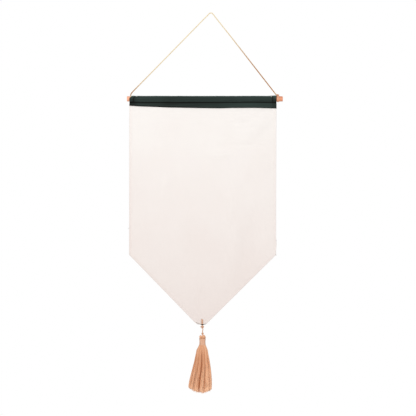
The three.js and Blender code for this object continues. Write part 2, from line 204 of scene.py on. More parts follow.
def unevenness(points: Array, reach: tuple, seed: int) -> Array:
    """Soft random heights: a scaled sum of cosine waves of random direction, about -1 to 1.

    Args:
        points: array whose last axis holds the coordinates.
        reach: typical wavelength along each coordinate.
        seed: picks the waves.

    Returns:
        One height per point.
    """
    waves = 24
    rng = np.random.default_rng(seed)
    pull = rng.normal(0, 1, (waves, points.shape[-1])) * TURN / np.asarray(reach)
    turn = rng.uniform(0, TURN, waves)
    return 0.7 * np.cos(points @ pull.T + turn).sum(-1) / math.sqrt(waves)


def smooth_route(points: Array, spacing: float) -> Array:
    """A smooth line through the points, resampled evenly.

    Each stretch is a cubic whose slopes come from its neighbours, with knots spaced by the square root
    of the distance between points.

    Args:
        points: (n, 3) points of the route.
        spacing: distance between the samples returned.

    Returns:
        (m, 3) samples.
    """
    points = np.asarray(points, float)
    knots = np.concatenate([[0], np.cumsum(np.sqrt(np.linalg.norm(np.diff(points, axis=0), axis=1)))])
    span = np.diff(knots)[:, None]
    slope = np.diff(points, axis=0) / span
    inner = (slope[:-1] * span[1:] + slope[1:] * span[:-1]) / (span[:-1] + span[1:])
    tangent = np.concatenate([slope[:1], inner, slope[-1:]])
    fine = np.linspace(0, knots[-1], 60 * len(points))
    at = np.clip(np.searchsorted(knots, fine, "right") - 1, 0, len(points) - 2)
    h = span[at]
    s = (fine[:, None] - knots[at][:, None]) / h
    line = (
        (1 + 2 * s) * (1 - s) ** 2 * points[at]
        + s * (1 - s) ** 2 * h * tangent[at]
        + s * s * (3 - 2 * s) * points[at + 1]
        + s * s * (s - 1) * h * tangent[at + 1]
    )
    run = run_along(line)
    even = np.linspace(0, run[-1], max(2, round(run[-1] / spacing) + 1))
    return np.stack([np.interp(even, run, line[:, axis]) for axis in range(3)], -1)


def frames_along(paths: Array) -> tuple:
    """Two crosswise directions along each path that don't spin.

    Formula: the tangent is the difference of the neighbouring points; the first direction is carried from
    step to step with its part along the new tangent taken out, and the second is square to both.

    Args:
        paths: (strands, steps, 3) points.

    Returns:
        (first, second), each (strands, steps, 3).
    """
    tangent = np.gradient(paths, axis=1)
    tangent /= np.linalg.norm(tangent, axis=-1, keepdims=True) + 1e-12
    least = np.eye(3)[np.argmin(np.abs(tangent[:, 0]), axis=-1)]
    first = np.empty_like(paths)
    carried = least
    for step in range(paths.shape[1]):
        carried = carried - (carried * tangent[:, step]).sum(-1, keepdims=True) * tangent[:, step]
        carried = carried / np.linalg.norm(carried, axis=-1, keepdims=True)
        first[:, step] = carried
    return first, np.cross(tangent, first)


# ---------------------------------------------------------------- meshes
@dataclass
class Surface:
    """A mesh held as whole arrays until it is built.

    Attributes:
        points: (n, 3) in millimetres of the banner.
        quads: (m, 4) corner numbers, anticlockwise from outside.
        quad_uv: (m, 4, 2) map coordinates in millimetres.
        tris: (k, 3) corner numbers.
        tri_uv: (k, 3, 2) map coordinates.
        tone: (n,) shade of each point's thread, 0 to 1; the middle shade if left out.
    """

    points: Array
    quads: Array
    quad_uv: Array
    tris: Array = field(default_factory=lambda: np.zeros((0, 3), int))
    tri_uv: Array = field(default_factory=lambda: np.zeros((0, 3, 2)))
    tone: Array = None

    def __post_init__(self) -> None:
        """Give every point the middle shade if none is set."""
        if self.tone is None:
            self.tone = np.full(len(self.points), PLAIN_TONE)

    @classmethod
    def join(cls, parts: list) -> "Surface":
        """All the parts as one surface, their corner numbers shifted past each other's.

        Args:
            parts: the surfaces to join.

        Returns:
            One surface.
        """
        shifts = np.cumsum([0] + [len(part.points) for part in parts[:-1]])
        return cls(
            np.concatenate([part.points for part in parts]),
            np.concatenate([part.quads + shift for part, shift in zip(parts, shifts)]),
            np.concatenate([part.quad_uv for part in parts]),
            np.concatenate([part.tris + shift for part, shift in zip(parts, shifts)]),
            np.concatenate([part.tri_uv for part in parts]),
            np.concatenate([part.tone for part in parts]),
        )

    @classmethod
    def ringed(cls, body: Array, ends: Array, run: Array, tone: Array) -> "Surface":
        """Bodies made of rings of points, each closed by a fan at both ends.

        Args:
            body: (strands, steps, sides, 3) points of the rings.
            ends: (strands, 2, 3) middles of the first and last ring.
            run: (strands, steps) map coordinate along each body.
            tone: shade, broadcast to (strands, steps).

        Returns:
            All the bodies as one surface.
        """
        strands, steps, sides, _ = body.shape
        points = np.concatenate([body.reshape(strands, -1, 3), ends], axis=1)
        step, side = np.meshgrid(np.arange(steps - 1), np.arange(sides), indexing="ij")
        here, beside = step * sides + side, step * sides + (side + 1) % sides
        quads = np.stack([here, beside, beside + sides, here + sides], -1).reshape(-1, 4)
        around = np.stack([side, side + 1, side + 1, side], -1).reshape(-1, 4) / sides
        ahead = np.stack([step, step, step + 1, step + 1], -1).reshape(-1, 4)
        quad_uv = np.stack([np.broadcast_to(around, (strands, *around.shape)), run[:, ahead]], -1)
        near, beyond = np.arange(sides), (np.arange(sides) + 1) % sides
        last = (steps - 1) * sides
        centre = np.full(sides, steps * sides)
        fan = np.concatenate(
            [np.stack([centre, beyond, near], -1), np.stack([centre + 1, last + near, last + beyond], -1)]
        )
        shift = (np.arange(strands) * points.shape[1])[:, None, None]
        shade = np.broadcast_to(tone, (strands, steps))
        return cls(
            points.reshape(-1, 3),
            (quads + shift).reshape(-1, 4),
            quad_uv.reshape(-1, 4, 2),
            (fan + shift).reshape(-1, 3),
            np.zeros((strands * len(fan), 3, 2)),
            np.concatenate([np.repeat(shade, sides, 1), shade[:, [0, -1]]], 1).ravel(),
        )

    @classmethod
    def tubes(cls, paths: Array, radii: Array, sides: int, tone: Array) -> "Surface":
        """Round tubes along many paths at once.

        Formula: a ring point is the path's point plus the radius times the cosine and sine of its angle
        along the two crosswise directions.

        Args:
            paths: (strands, steps, 3) centre lines.
            radii: radius, broadcast to (strands, steps).
            sides: corners of each ring.
            tone: shade, broadcast to (strands, steps).

        Returns:
            The tubes as one surface.
        """
        strands, steps, _ = paths.shape
        first, second = frames_along(paths)
        angle = turn_steps(sides)[:, None]
        ring = first[:, :, None] * np.cos(angle) + second[:, :, None] * np.sin(angle)
        reach = np.broadcast_to(radii, (strands, steps))[:, :, None, None]
        lengths = np.linalg.norm(np.diff(paths, axis=1), axis=-1)
        run = np.concatenate([np.zeros((strands, 1)), np.cumsum(lengths, 1)], 1)
        return cls.ringed(paths[:, :, None] + ring * reach, paths[:, [0, -1]], run, tone)

    @classmethod
    def sheet(cls, front: Array, back: Array, chart: Array) -> "Surface":
        """A closed sheet from its two faces and the rim between them.

        Args:
            front: (rows, columns, 3) points, rows down and columns to the right seen from the front.
            back: the same grid on the other face.
            chart: (rows, columns, 2) map coordinates in millimetres.

        Returns:
            The sheet as one closed surface.
        """
        rows, columns = front.shape[:2]
        number = np.arange(rows * columns).reshape(rows, columns)
        corners = [number[:-1, :-1], number[1:, :-1], number[1:, 1:], number[:-1, 1:]]
        face = np.stack(corners, -1).reshape(-1, 4)
        rim = np.concatenate([number[0, :-1], number[:-1, -1], number[-1, :0:-1], number[:0:-1, 0]])
        ahead = np.roll(rim, -1)
        count = rows * columns
        quads = np.concatenate(
            [face, face[:, ::-1] + count, np.stack([rim, ahead, ahead + count, rim + count], -1)]
        )
        flat = chart.reshape(-1, 2)
        points = np.concatenate([front.reshape(-1, 3), back.reshape(-1, 3)])
        return cls(points, quads, np.concatenate([flat, flat])[quads])

    @classmethod
    def rings(cls, rings: Array) -> "Surface":
        """A closed body of rings from top to bottom.

        Args:
            rings: (rings, sides, 3) points, anticlockwise seen from above.

        Returns:
            The closed body.
        """
        middle = rings.mean(1)
        body = cls.ringed(rings[None], middle[None, [0, -1]], run_along(middle)[None], PLAIN_TONE)
        outward = [0, 3, 2, 1]
        return replace(
            body, quads=body.quads[:, outward], quad_uv=body.quad_uv[:, outward], tris=body.tris[:, [0, 2, 1]]
        )

    def build(self, name: str, material: bpy.types.Material) -> bpy.types.Object:
        """Put the arrays into a Blender mesh, in metres of the row frame.

        Args:
            name: the piece's name.
            material: its finish.

        Returns:
            The new object, at the origin.
        """
        mesh = bpy.data.meshes.new(name)
        sizes = np.concatenate([np.full(len(self.quads), 4), np.full(len(self.tris), 3)])
        corners = np.concatenate([self.quads.ravel(), self.tris.ravel()])
        mesh.vertices.add(len(self.points))
        mesh.vertices.foreach_set("co", SITE.row(self.points).astype(np.float32).ravel())
        mesh.loops.add(len(corners))
        mesh.loops.foreach_set("vertex_index", corners.astype(np.int32))
        mesh.polygons.add(len(sizes))
        starts = np.concatenate([[0], np.cumsum(sizes)[:-1]])
        mesh.polygons.foreach_set("loop_start", starts.astype(np.int32))
        mesh.update(calc_edges=True)
        mesh.polygons.foreach_set("use_smooth", np.ones(len(sizes), bool))
        chart = mesh.uv_layers.new(name="chart")
        chart_uv = np.concatenate([self.quad_uv.reshape(-1, 2), self.tri_uv.reshape(-1, 2)])
        chart.data.foreach_set("uv", chart_uv.astype(np.float32).ravel())
        tone = mesh.attributes.new("tone", "FLOAT", "POINT")
        tone.data.foreach_set("value", self.tone.astype(np.float32))
        mesh.validate()
        mesh.materials.append(material)
        piece = bpy.data.objects.new(name, mesh)
        bpy.context.scene.collection.objects.link(piece)
        return piece


# ---------------------------------------------------------------- finishes
class Shading:
    """A short hand for a material's nodes: every call adds a node and returns its first output."""

    def __init__(self, name: str, roughness: float, specular: float, sheen: float = 0.0) -> None:
        """Make the material with one plain shader.

        Args:
            name: the material's name.
            roughness: roughness of the whole surface.
            specular: strength of its gloss.
            sheen: strength of its soft edge light.
        """
        self.material = bpy.data.materials.new(name)
        self.material.use_nodes = True
        self.tree = self.material.node_tree
        self.shader = self.tree.nodes["Principled BSDF"]
        self.shader.inputs["Roughness"].default_value = roughness
        self.shader.inputs["Specular IOR Level"].default_value = specular
        self.shader.inputs["Sheen Weight"].default_value = sheen

    def node(self, kind: str, inputs: dict, **settings) -> bpy.types.Node:
        """Add a node of that kind, with values or outputs on its inputs and the given settings.

        Args:
            kind: the node's type, without the word that all of them begin with.
            inputs: values or outputs for its inputs, by name or number.
            settings: properties to set on it.

        Returns:
            The new node.
        """
        made = self.tree.nodes.new("ShaderNode" + kind)
        for key, value in settings.items():
            setattr(made, key, value)
        for key, value in inputs.items():
            self.feed(made.inputs[key], value)
        return made

    def feed(self, socket: bpy.types.NodeSocket, value: object) -> None:
        """Link an output to the socket, or set a plain value on it.

        Args:
            socket: the input.
            value: an output or a plain value.
        """
        if isinstance(value, bpy.types.NodeSocket):
            self.tree.links.new(value, socket)
        else:
            socket.default_value = value

    def sum(self, operation: str, *values: object) -> bpy.types.NodeSocket:
        """The result of a Math node on the values."""
        return self.node("Math", dict(enumerate(values)), operation=operation).outputs[0]

    def chart(self) -> tuple:
        """The piece's own map coordinates, across and along, in millimetres.

        Returns:
            (across, along), two outputs.
        """
        chart = self.node("UVMap", {}, uv_map="chart").outputs[0]
        split = self.node("SeparateXYZ", {0: chart})
        return split.outputs[0], split.outputs[1]

    def tone(self) -> bpy.types.NodeSocket:
        """The piece's own tone, 0 to 1."""
        return self.node("Attribute", {}, attribute_name="tone").outputs["Fac"]

    def place(self, stretch: tuple) -> bpy.types.NodeSocket:
        """Object coordinates stretched by three factors."""
        spot = self.node("TexCoord", {}).outputs["Object"]
        return self.node("Mapping", {"Vector": spot, "Scale": stretch}).outputs[0]

    def cloud(self, vector: bpy.types.NodeSocket, scale: float, detail: float) -> bpy.types.NodeSocket:
        """Soft noise from 0 to 1 over a vector."""
        inputs = {"Vector": vector, "Scale": scale, "Detail": detail}
        return self.node("TexNoise", inputs).outputs["Fac"]

    def between(self, share: object, first: tuple, second: tuple) -> bpy.types.NodeSocket:
        """A colour mixed from first to second by share."""
        mix = self.node("Mix", {0: share, 6: (*first, 1), 7: (*second, 1)}, data_type="RGBA")
        return mix.outputs[2]

    def darken(self, colour: bpy.types.NodeSocket, share: object) -> bpy.types.NodeSocket:
        """The colour times a grey share."""
        inputs = {0: 1.0, 6: colour, 7: share}
        return self.node("Mix", inputs, data_type="RGBA", blend_type="MULTIPLY").outputs[2]

    def spread(self, value: object, low: float, high: float, to: tuple) -> bpy.types.NodeSocket:
        """The value's range low to high laid onto the range `to`."""
        return self.node("MapRange", {0: value, 1: low, 2: high, 3: to[0], 4: to[1]}).outputs[0]

    def relief(self, height: object, distance: float) -> None:
        """Raise the surface by a height of 0 to 1 times distance, in metres."""
        bump = self.node("Bump", {"Height": height, "Distance": distance, "Strength": 1.0}).outputs[0]
        self.tree.links.new(bump, self.shader.inputs["Normal"])

    def paint(self, colour: object) -> bpy.types.Material:
        """Set the base colour and return the finished material."""
        self.feed(self.shader.inputs["Base Color"], colour)
        return self.material


@dataclass(frozen=True)
class WovenCloth:
    """Plain-woven cloth: threads over and under, slubs, and the mesh's own tone between two colours.

    Attributes:
        name: the material's name.
        light: colour of the lightest cloth.
        deep: colour of the deepest.
        pitch: distance between threads, in millimetres.
        raise_by: height of the weave, in metres.
        specular: strength of the gloss.
        sheen: strength of the soft edge light.
        mottle: share by which slow clouds shift the tone.
        slub_stretch: stretch of the slubs' noise, short along the thread and long across it.
        slub_range: noise from which a slub starts, and at which it is whole.
    """

    name: str
    light: tuple
    deep: tuple
    pitch: float
    raise_by: float
    specular: float
    sheen: float
    mottle: float
    slub_stretch: tuple = (14, 60, 900)
    slub_range: tuple = (0.6, 0.85)

    def material(self) -> bpy.types.Material:
        """Build the material.

        The height of the weave is the ridge of whichever thread lies on top: the sign of the product of
        both threads' sines says which.

        Returns:
            The new material.
        """
        s = Shading(self.name, 0.92, self.specular, self.sheen)
        across, along = s.chart()
        turn = math.pi / self.pitch
        wander = s.cloud(s.place((1, 1, 1)), 160, 2)
        warp = s.sum("SINE", s.sum("MULTIPLY_ADD", across, turn, wander))
        weft = s.sum("SINE", s.sum("MULTIPLY_ADD", along, turn, wander))
        on_top = s.sum("GREATER_THAN", s.sum("MULTIPLY", warp, weft), 0.0)
        sides = {0: on_top, 2: s.sum("ABSOLUTE", warp), 3: s.sum("ABSOLUTE", weft)}
        ridges = s.node("Mix", sides, data_type="FLOAT").outputs[0]
        slubs_across = s.cloud(s.place(self.slub_stretch), 1.0, 2)
        slubs_along = s.cloud(s.place(self.slub_stretch[::-1]), 1.0, 2)
        slubs = s.sum("MAXIMUM", slubs_across, slubs_along)
        s.relief(s.sum("ADD", ridges, s.spread(slubs, *self.slub_range, (0, 0.9))), self.raise_by)
        cloud = s.spread(s.cloud(s.place((1, 1, 1)), 9, 4), 0.3, 0.7, (-self.mottle, self.mottle))
        colour = s.between(s.sum("ADD", s.tone(), cloud), self.light, self.deep)
        # Painted shade between the threads, where the weave dips.
        colour = s.darken(colour, s.spread(ridges, 0, 1, (0.955, 1.0)))
        return s.paint(s.darken(colour, s.spread(slubs, *self.slub_range, (1.0, 0.97))))


@dataclass(frozen=True)
class SpunThread:
    """Twisted cotton: fine slanting fibres along each thread, and threads of differing shade.

    Attributes:
        name: the material's name.
        light: colour of the lightest threads.
        deep: colour of the deepest.
        lay: length in which the fibres go once round, in millimetres.
        raise_by: height of the fibres, in metres.
        sheen: strength of the soft edge light.
        specular: strength of the gloss.
        mottle: share by which slow clouds shift the tone.
    """

    name: str
    light: tuple
    deep: tuple
    lay: float
    raise_by: float
    sheen: float = 0.2
    specular: float = 0.25
    mottle: float = 0.07

    def material(self) -> bpy.types.Material:
        """Build the material: the fibres are a sine of the place round the thread plus that along it.

        The tone times a large number sets them apart from thread to thread.

        Returns:
            The new material.
        """
        s = Shading(self.name, 0.75, self.specular, self.sheen)
        around, along = s.chart()
        tone = s.tone()
        apart = 97.0
        start = s.sum("MULTIPLY_ADD", tone, apart, s.sum("MULTIPLY", around, TURN))
        slant = s.sum("MULTIPLY_ADD", along, TURN / self.lay, start)
        fibre = s.spread(s.sum("SINE", s.sum("MULTIPLY", slant, 2.0)), -1, 1, (0, 1))
        fuzz = s.cloud(s.place((1, 1, 0.35)), 2600, 2)
        s.relief(s.sum("MULTIPLY_ADD", fuzz, 0.6, fibre), self.raise_by)
        cloud = s.spread(s.cloud(s.place((1, 1, 0.25)), 140, 3), 0.3, 0.7, (-self.mottle, self.mottle))
        colour = s.between(s.sum("ADD", tone, cloud), self.light, self.deep)
        # Painted shade in the grooves between the fibres.
        return s.paint(s.darken(colour, s.spread(fibre, 0, 1, (0.9, 1.0))))


@dataclass(frozen=True)
class TurnedWood:
    """Pale sanded wood with its grain along the rod and growth rings on the ends.

    Attributes:
        name: the material's name.
        light: colour of the early wood.
        deep: colour of the late wood.
        streaks: stretch of the grain's noise along x, y and z.
        pores: the same for the pores.
        heart: y and z of the rings' middle from the rod's axis, in metres.
        rings: turn of the rings' sine for each metre, in radians.
        raise_by: height of the grain, in metres.
    """

    name: str = "dowel_wood"
    light: tuple = (0.8, 0.41, 0.27)
    deep: tuple = (0.54, 0.205, 0.105)
    streaks: tuple = (9, 900, 900)
    pores: tuple = (60, 3200, 3200)
    heart: tuple = (-0.011, 0.006)
    rings: float = 5200.0
    raise_by: float = 0.00006

    def material(self) -> bpy.types.Material:
        """Build the material: rings about an axis beside the rod, streaked by noise drawn out along it.

        Returns:
            The new material.
        """
        s = Shading(self.name, 0.5, 0.35)
        streak = s.cloud(s.place(self.streaks), 1.0, 4)
        pores = s.cloud(s.place(self.pores), 1.0, 2)
        spot = s.node("SeparateXYZ", {0: s.node("TexCoord", {}).outputs["Object"]})
        y = s.sum("SUBTRACT", spot.outputs[1], self.heart[0])
        z = s.sum("SUBTRACT", spot.outputs[2], SITE.axis + self.heart[1])
        reach = s.sum("SQRT", s.sum("ADD", s.sum("MULTIPLY", y, y), s.sum("MULTIPLY", z, z)))
        rings = s.sum("SINE", s.sum("MULTIPLY_ADD", reach, self.rings, s.sum("MULTIPLY", streak, 5.0)))
        grain = s.sum("MULTIPLY_ADD", rings, 0.14, s.spread(streak, 0.3, 0.75, (-0.25, 0.35)))
        s.relief(s.sum("SUBTRACT", grain, pores), self.raise_by)
        colour = s.between(s.sum("ADD", grain, s.tone()), self.light, self.deep)
        return s.paint(s.darken(colour, s.spread(pores, 0.62, 0.8, (1.0, 0.8))))


class Finish(Enum):
    """The finishes on the banner.

    The columns of a thread are its name, light, deep, lay and raise_by, then sheen and specular.
    """

    CANVAS = WovenCloth(
        "ivory_canvas", light=(0.703, 0.681, 0.67), deep=(0.648, 0.588, 0.57),
        pitch=0.55, raise_by=0.00009, specular=0.2, sheen=0.1, mottle=0.12,
    )
    HEADING = WovenCloth(
        "dark_green_cotton", light=(0.066, 0.107, 0.098), deep=(0.0066, 0.0064, 0.0056),
        pitch=0.42, raise_by=0.00008, specular=0.04, sheen=0.02, mottle=0.07,
    )
    WOOD = TurnedWood()
    CORD = SpunThread("tan_cord", (0.75, 0.66, 0.46), (0.39, 0.165, 0.035), 1.6, 0.00008)
    TIE = SpunThread("tie_cord", (0.8, 0.44, 0.27), (0.42, 0.14, 0.07), 1.6, 0.00008)
    HANGER = SpunThread("peach_cord", (0.8, 0.52, 0.36), (0.44, 0.2, 0.1), 1.4, 0.00007)
    YARN = SpunThread("tassel_yarn", (0.81, 0.49, 0.31), (0.41, 0.13, 0.042), 2.2, 0.00005, 0.12)
    FIBRE = SpunThread("yarn_fibre", (0.86, 0.52, 0.34), (0.6, 0.25, 0.12), 2.2, 0.000002, 0.12)
    BINDING = SpunThread("neck_thread", (0.75, 0.455, 0.315), (0.58, 0.345, 0.225), 1.2, 0.00004, 0.2)
    IVORY_THREAD = SpunThread("ivory_thread", (0.76, 0.7, 0.66), (0.68, 0.6, 0.55), 0.8, 0.00003)
    # The crease stitches are painted deep, for the shade of the crease that they lie in.
    GREEN_THREAD = SpunThread(
        "green_thread", (0.012, 0.018, 0.016), (0.005, 0.007, 0.006), 0.8, 0.00003, 0.0, 0.04
    )
    DARK_THREAD = SpunThread("dark_thread", (0.2, 0.2, 0.17), (0.028, 0.013, 0.006), 0.8, 0.00003, 0.0, 0.1)

    def material(self) -> bpy.types.Material:
        """The finish's material, made once."""
        return bpy.data.materials.get(self.value.name) or self.value.material()


def add_piece(surface: Surface, name: str, finish: Finish, slot: str, *nodes: str) -> bpy.types.Object:
    """Build a surface as a piece of the banner's one body, hide the CAD nodes that it replaces, and log it.

    Args:
        surface: the piece's surface.
        name: the piece's name.
        finish: its finish.
        slot: not used.
        nodes: CAD nodes that it replaces.

    Returns:
        The new piece.
    """
    piece = surface.build(name, finish.material())
    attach(piece, "root")
    if nodes:
        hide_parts(*nodes)
    triangles = len(piece.data.loops) - 2 * len(piece.data.polygons)
    LOG.info("%s: %d triangles", piece.name, triangles)
    return piece


# ---------------------------------------------------------------- cords and knots
@dataclass(frozen=True)
class TwistedCord:
    """A cord of a few plies laid round each other.

    Attributes:
        diameter: over all the plies, in millimetres.
        plies: how many.
        lay: length of one turn, in millimetres.
        sides: corners of a ply's section.
        pressed: how much wider a ply is than if it only touched its neighbours.
        shade_spread: how far the plies' tones differ from the middle one.
    """

    diameter: float
    plies: int
    lay: float
    sides: int
    pressed: float = 1.12
    shade_spread: float = 0.12

    def along(self, route: Array, tone: Array, taper: tuple = (0.0, 0.0)) -> Surface:
        """Plies round a route: each is offset from it by a share of the radius that turns with distance.

        Args:
            route: (n, 3) even samples of the centre line.
            tone: middle shade of the plies, one number or one per sample.
            taper: length at the start and the end over which the plies draw in, in millimetres.

        Returns:
            All plies as one surface.
        """
        share = {2: 0.5, 3: 0.52}[self.plies]
        radius = self.diameter / 2 * (1 - share) * self.pressed
        run = run_along(route)
        first, second = frames_along(route[None])
        turn = (TURN * run / self.lay + turn_steps(self.plies)[:, None])[..., None]
        offset = first * np.cos(turn) + second * np.sin(turn)
        paths = route + offset * self.diameter / 2 * share
        ends = np.ones_like(run)
        for length, distance in zip(taper, (run, run[-1] - run)):
            if length:
                ends = np.minimum(ends, np.sqrt(np.clip(distance / length, 0.05, 1)))
        shades = tone + self.shade_spread * np.cos(np.arange(self.plies) * 2.4)[:, None]
        return Surface.tubes(paths, radius * ends[None], self.sides, shades)

    def knot(self, centre: tuple, size: float, stretch: tuple, turn: float, tone: float) -> Surface:
        """An overhand knot pulled tight: a three-lobed closed line that passes over and under itself.

        Args:
            centre: middle of the knot.
            size: scale of the line, in millimetres.
            stretch: factors along x, y and z.
            turn: turn of its lobes about y, in radians.
            tone: middle shade.

        Returns:
            The knot's cord.
        """
        t = np.linspace(0, TURN, 90)
        flat = spots(np.sin(t) + 2 * np.sin(2 * t), np.sin(3 * t) * -1.2, np.cos(t) - 2 * np.cos(2 * t))
        c, s = math.cos(turn), math.sin(turn)
        turned = flat @ np.array([[c, 0, s], [0, 1, 0], [-s, 0, c]]).T
        return self.along(np.array(centre) + turned * size * np.array(stretch), tone)


@dataclass
class HangingCord:
    """The cord from tie to tie over the wall hook, and the ties round the dowel's ends.

    Attributes:
        cord: the long cord.
        tight: the same cord pulled tight in the knots.
        wrap: the same cord pressed flat in the turns round the dowel.
        dowel_radius: radius of the dowel, in mm.
        bite: how deep the turns press into the wood, in mm.
        turns: turns of each tie.
        route: points of the cord's centre line, (x, y, z) in mm.
        tone_along: tone along the cord, deep by the ties and pale over the hook, (share of its length, tone).
        ties: name, node, finish, x of the first turn, knot, two points of the loose end, and tone.
    """

    cord: TwistedCord = field(default_factory=lambda: TwistedCord(diameter=2.2, plies=3, lay=6.5, sides=8))
    tight: TwistedCord = field(default_factory=lambda: TwistedCord(diameter=1.7, plies=3, lay=5.0, sides=7))
    wrap: TwistedCord = field(default_factory=lambda: TwistedCord(diameter=1.35, plies=3, lay=4.4, sides=6))
    dowel_radius: float = 5.3
    bite: float = 0.05
    turns: int = 3
    route: tuple = (
        (-147.0, 5.6, 3.8),
        (-147.0, 3.5, 5.8),
        (-146.9, 1.4, 7.0),
        (-146.4, 0.2, 8.6),
        (-145.5, 0.0, 11.0),
        (-143.7, 0.0, 13.2),
        (-93.0, 0.0, 65.0),
        (-39.2, 0.0, 120.0),
        (4.9, 0.0, 165.0),
        (9.7, 0.0, 169.9),
        (12.3, 0.0, 172.6),
        (14.5, 0.0, 174.4),
        (17.0, 0.0, 175.0),
        (19.1, 0.0, 174.5),
        (20.7, 0.0, 172.9),
        (23.1, 0.0, 169.9),
        (27.0, 0.0, 164.9),
        (64.0, 0.0, 118.2),
        (107.0, 0.0, 63.0),
        (145.5, 0.0, 13.6),
        (148.6, 0.0, 9.6),
        (151.0, 0.4, 7.6),
    )
    tone_along: tuple = (
        (0.0, 0.95),
        (0.034, 0.9),
        (0.077, 0.38),
        (0.139, 0.22),
        (0.214, 0.13),
        (0.45, 0.08),
        (0.56, 0.08),
        (0.637, 0.13),
        (0.711, 0.32),
        (0.786, 0.74),
        (0.861, 0.95),
        (0.97, 0.95),
        (1.0, 0.5),
    )
    ties: tuple = (
        (
            "tie_left", "cord_tie_left", Finish.CORD,
            -147.4, (-148.0, 7.0, 1.8), ((-150.6, 8.2, 0.8), (-152.0, 8.8, -0.8)), 0.25,
        ),
        (
            "tie_right", "cord_tie_right", Finish.TIE,
            151.3, (152.4, 0.3, 7.0), ((154.2, 2.0, 8.0), (155.3, 3.2, 9.0)), 0.6,
        ),
    )

    def build(self) -> None:
        line = smooth_route(np.array(self.route), 0.4)
        place, tone = np.array(self.tone_along).T
        twist = self.cord.along(line, np.interp(np.linspace(0, 1, len(line)), place, tone))
        cord = add_piece(twist, "hanging_cord_twist", Finish.CORD, "cotton_cord", "hanging_cord")
        left, right = (
            add_piece(self.tie(*shape), name, finish, "cotton_cord", node)
            for name, node, finish, *shape in self.ties
        )
        path = SITE.row(line)

    def tie(self, start: float, knot: tuple, tail: tuple, tone: float) -> Surface:
        """Close turns round the dowel, a knot and a short loose end.

        The turns are a spiral about the dowel's axis that moves along it by one cord a turn.

        Args:
            start: x of the first turn's middle.
            knot: middle of the knot.
            tail: two points that the loose end runs through.
            tone: shade of the knot; the turns are lighter.

        Returns:
            The tie's cord.
        """
        angle = np.linspace(0.25 * TURN, (0.25 + self.turns) * TURN, 72 * self.turns)
        reach = self.dowel_radius + self.wrap.diameter / 2 - self.bite
        along = start + self.wrap.diameter * (angle - angle[0]) / TURN
        loose = smooth_route(np.array([knot, *tail]), 0.3)
        parts = [
            self.wrap.along(spots(along, -reach * np.cos(angle), reach * np.sin(angle)), tone * 0.25),
            self.tight.knot(knot, size=0.78, stretch=(1.05, 0.95, 0.88), turn=0.5, tone=tone),
            self.tight.along(loose, tone, taper=(0.0, 0.6)),
        ]
        return Surface.join(parts)


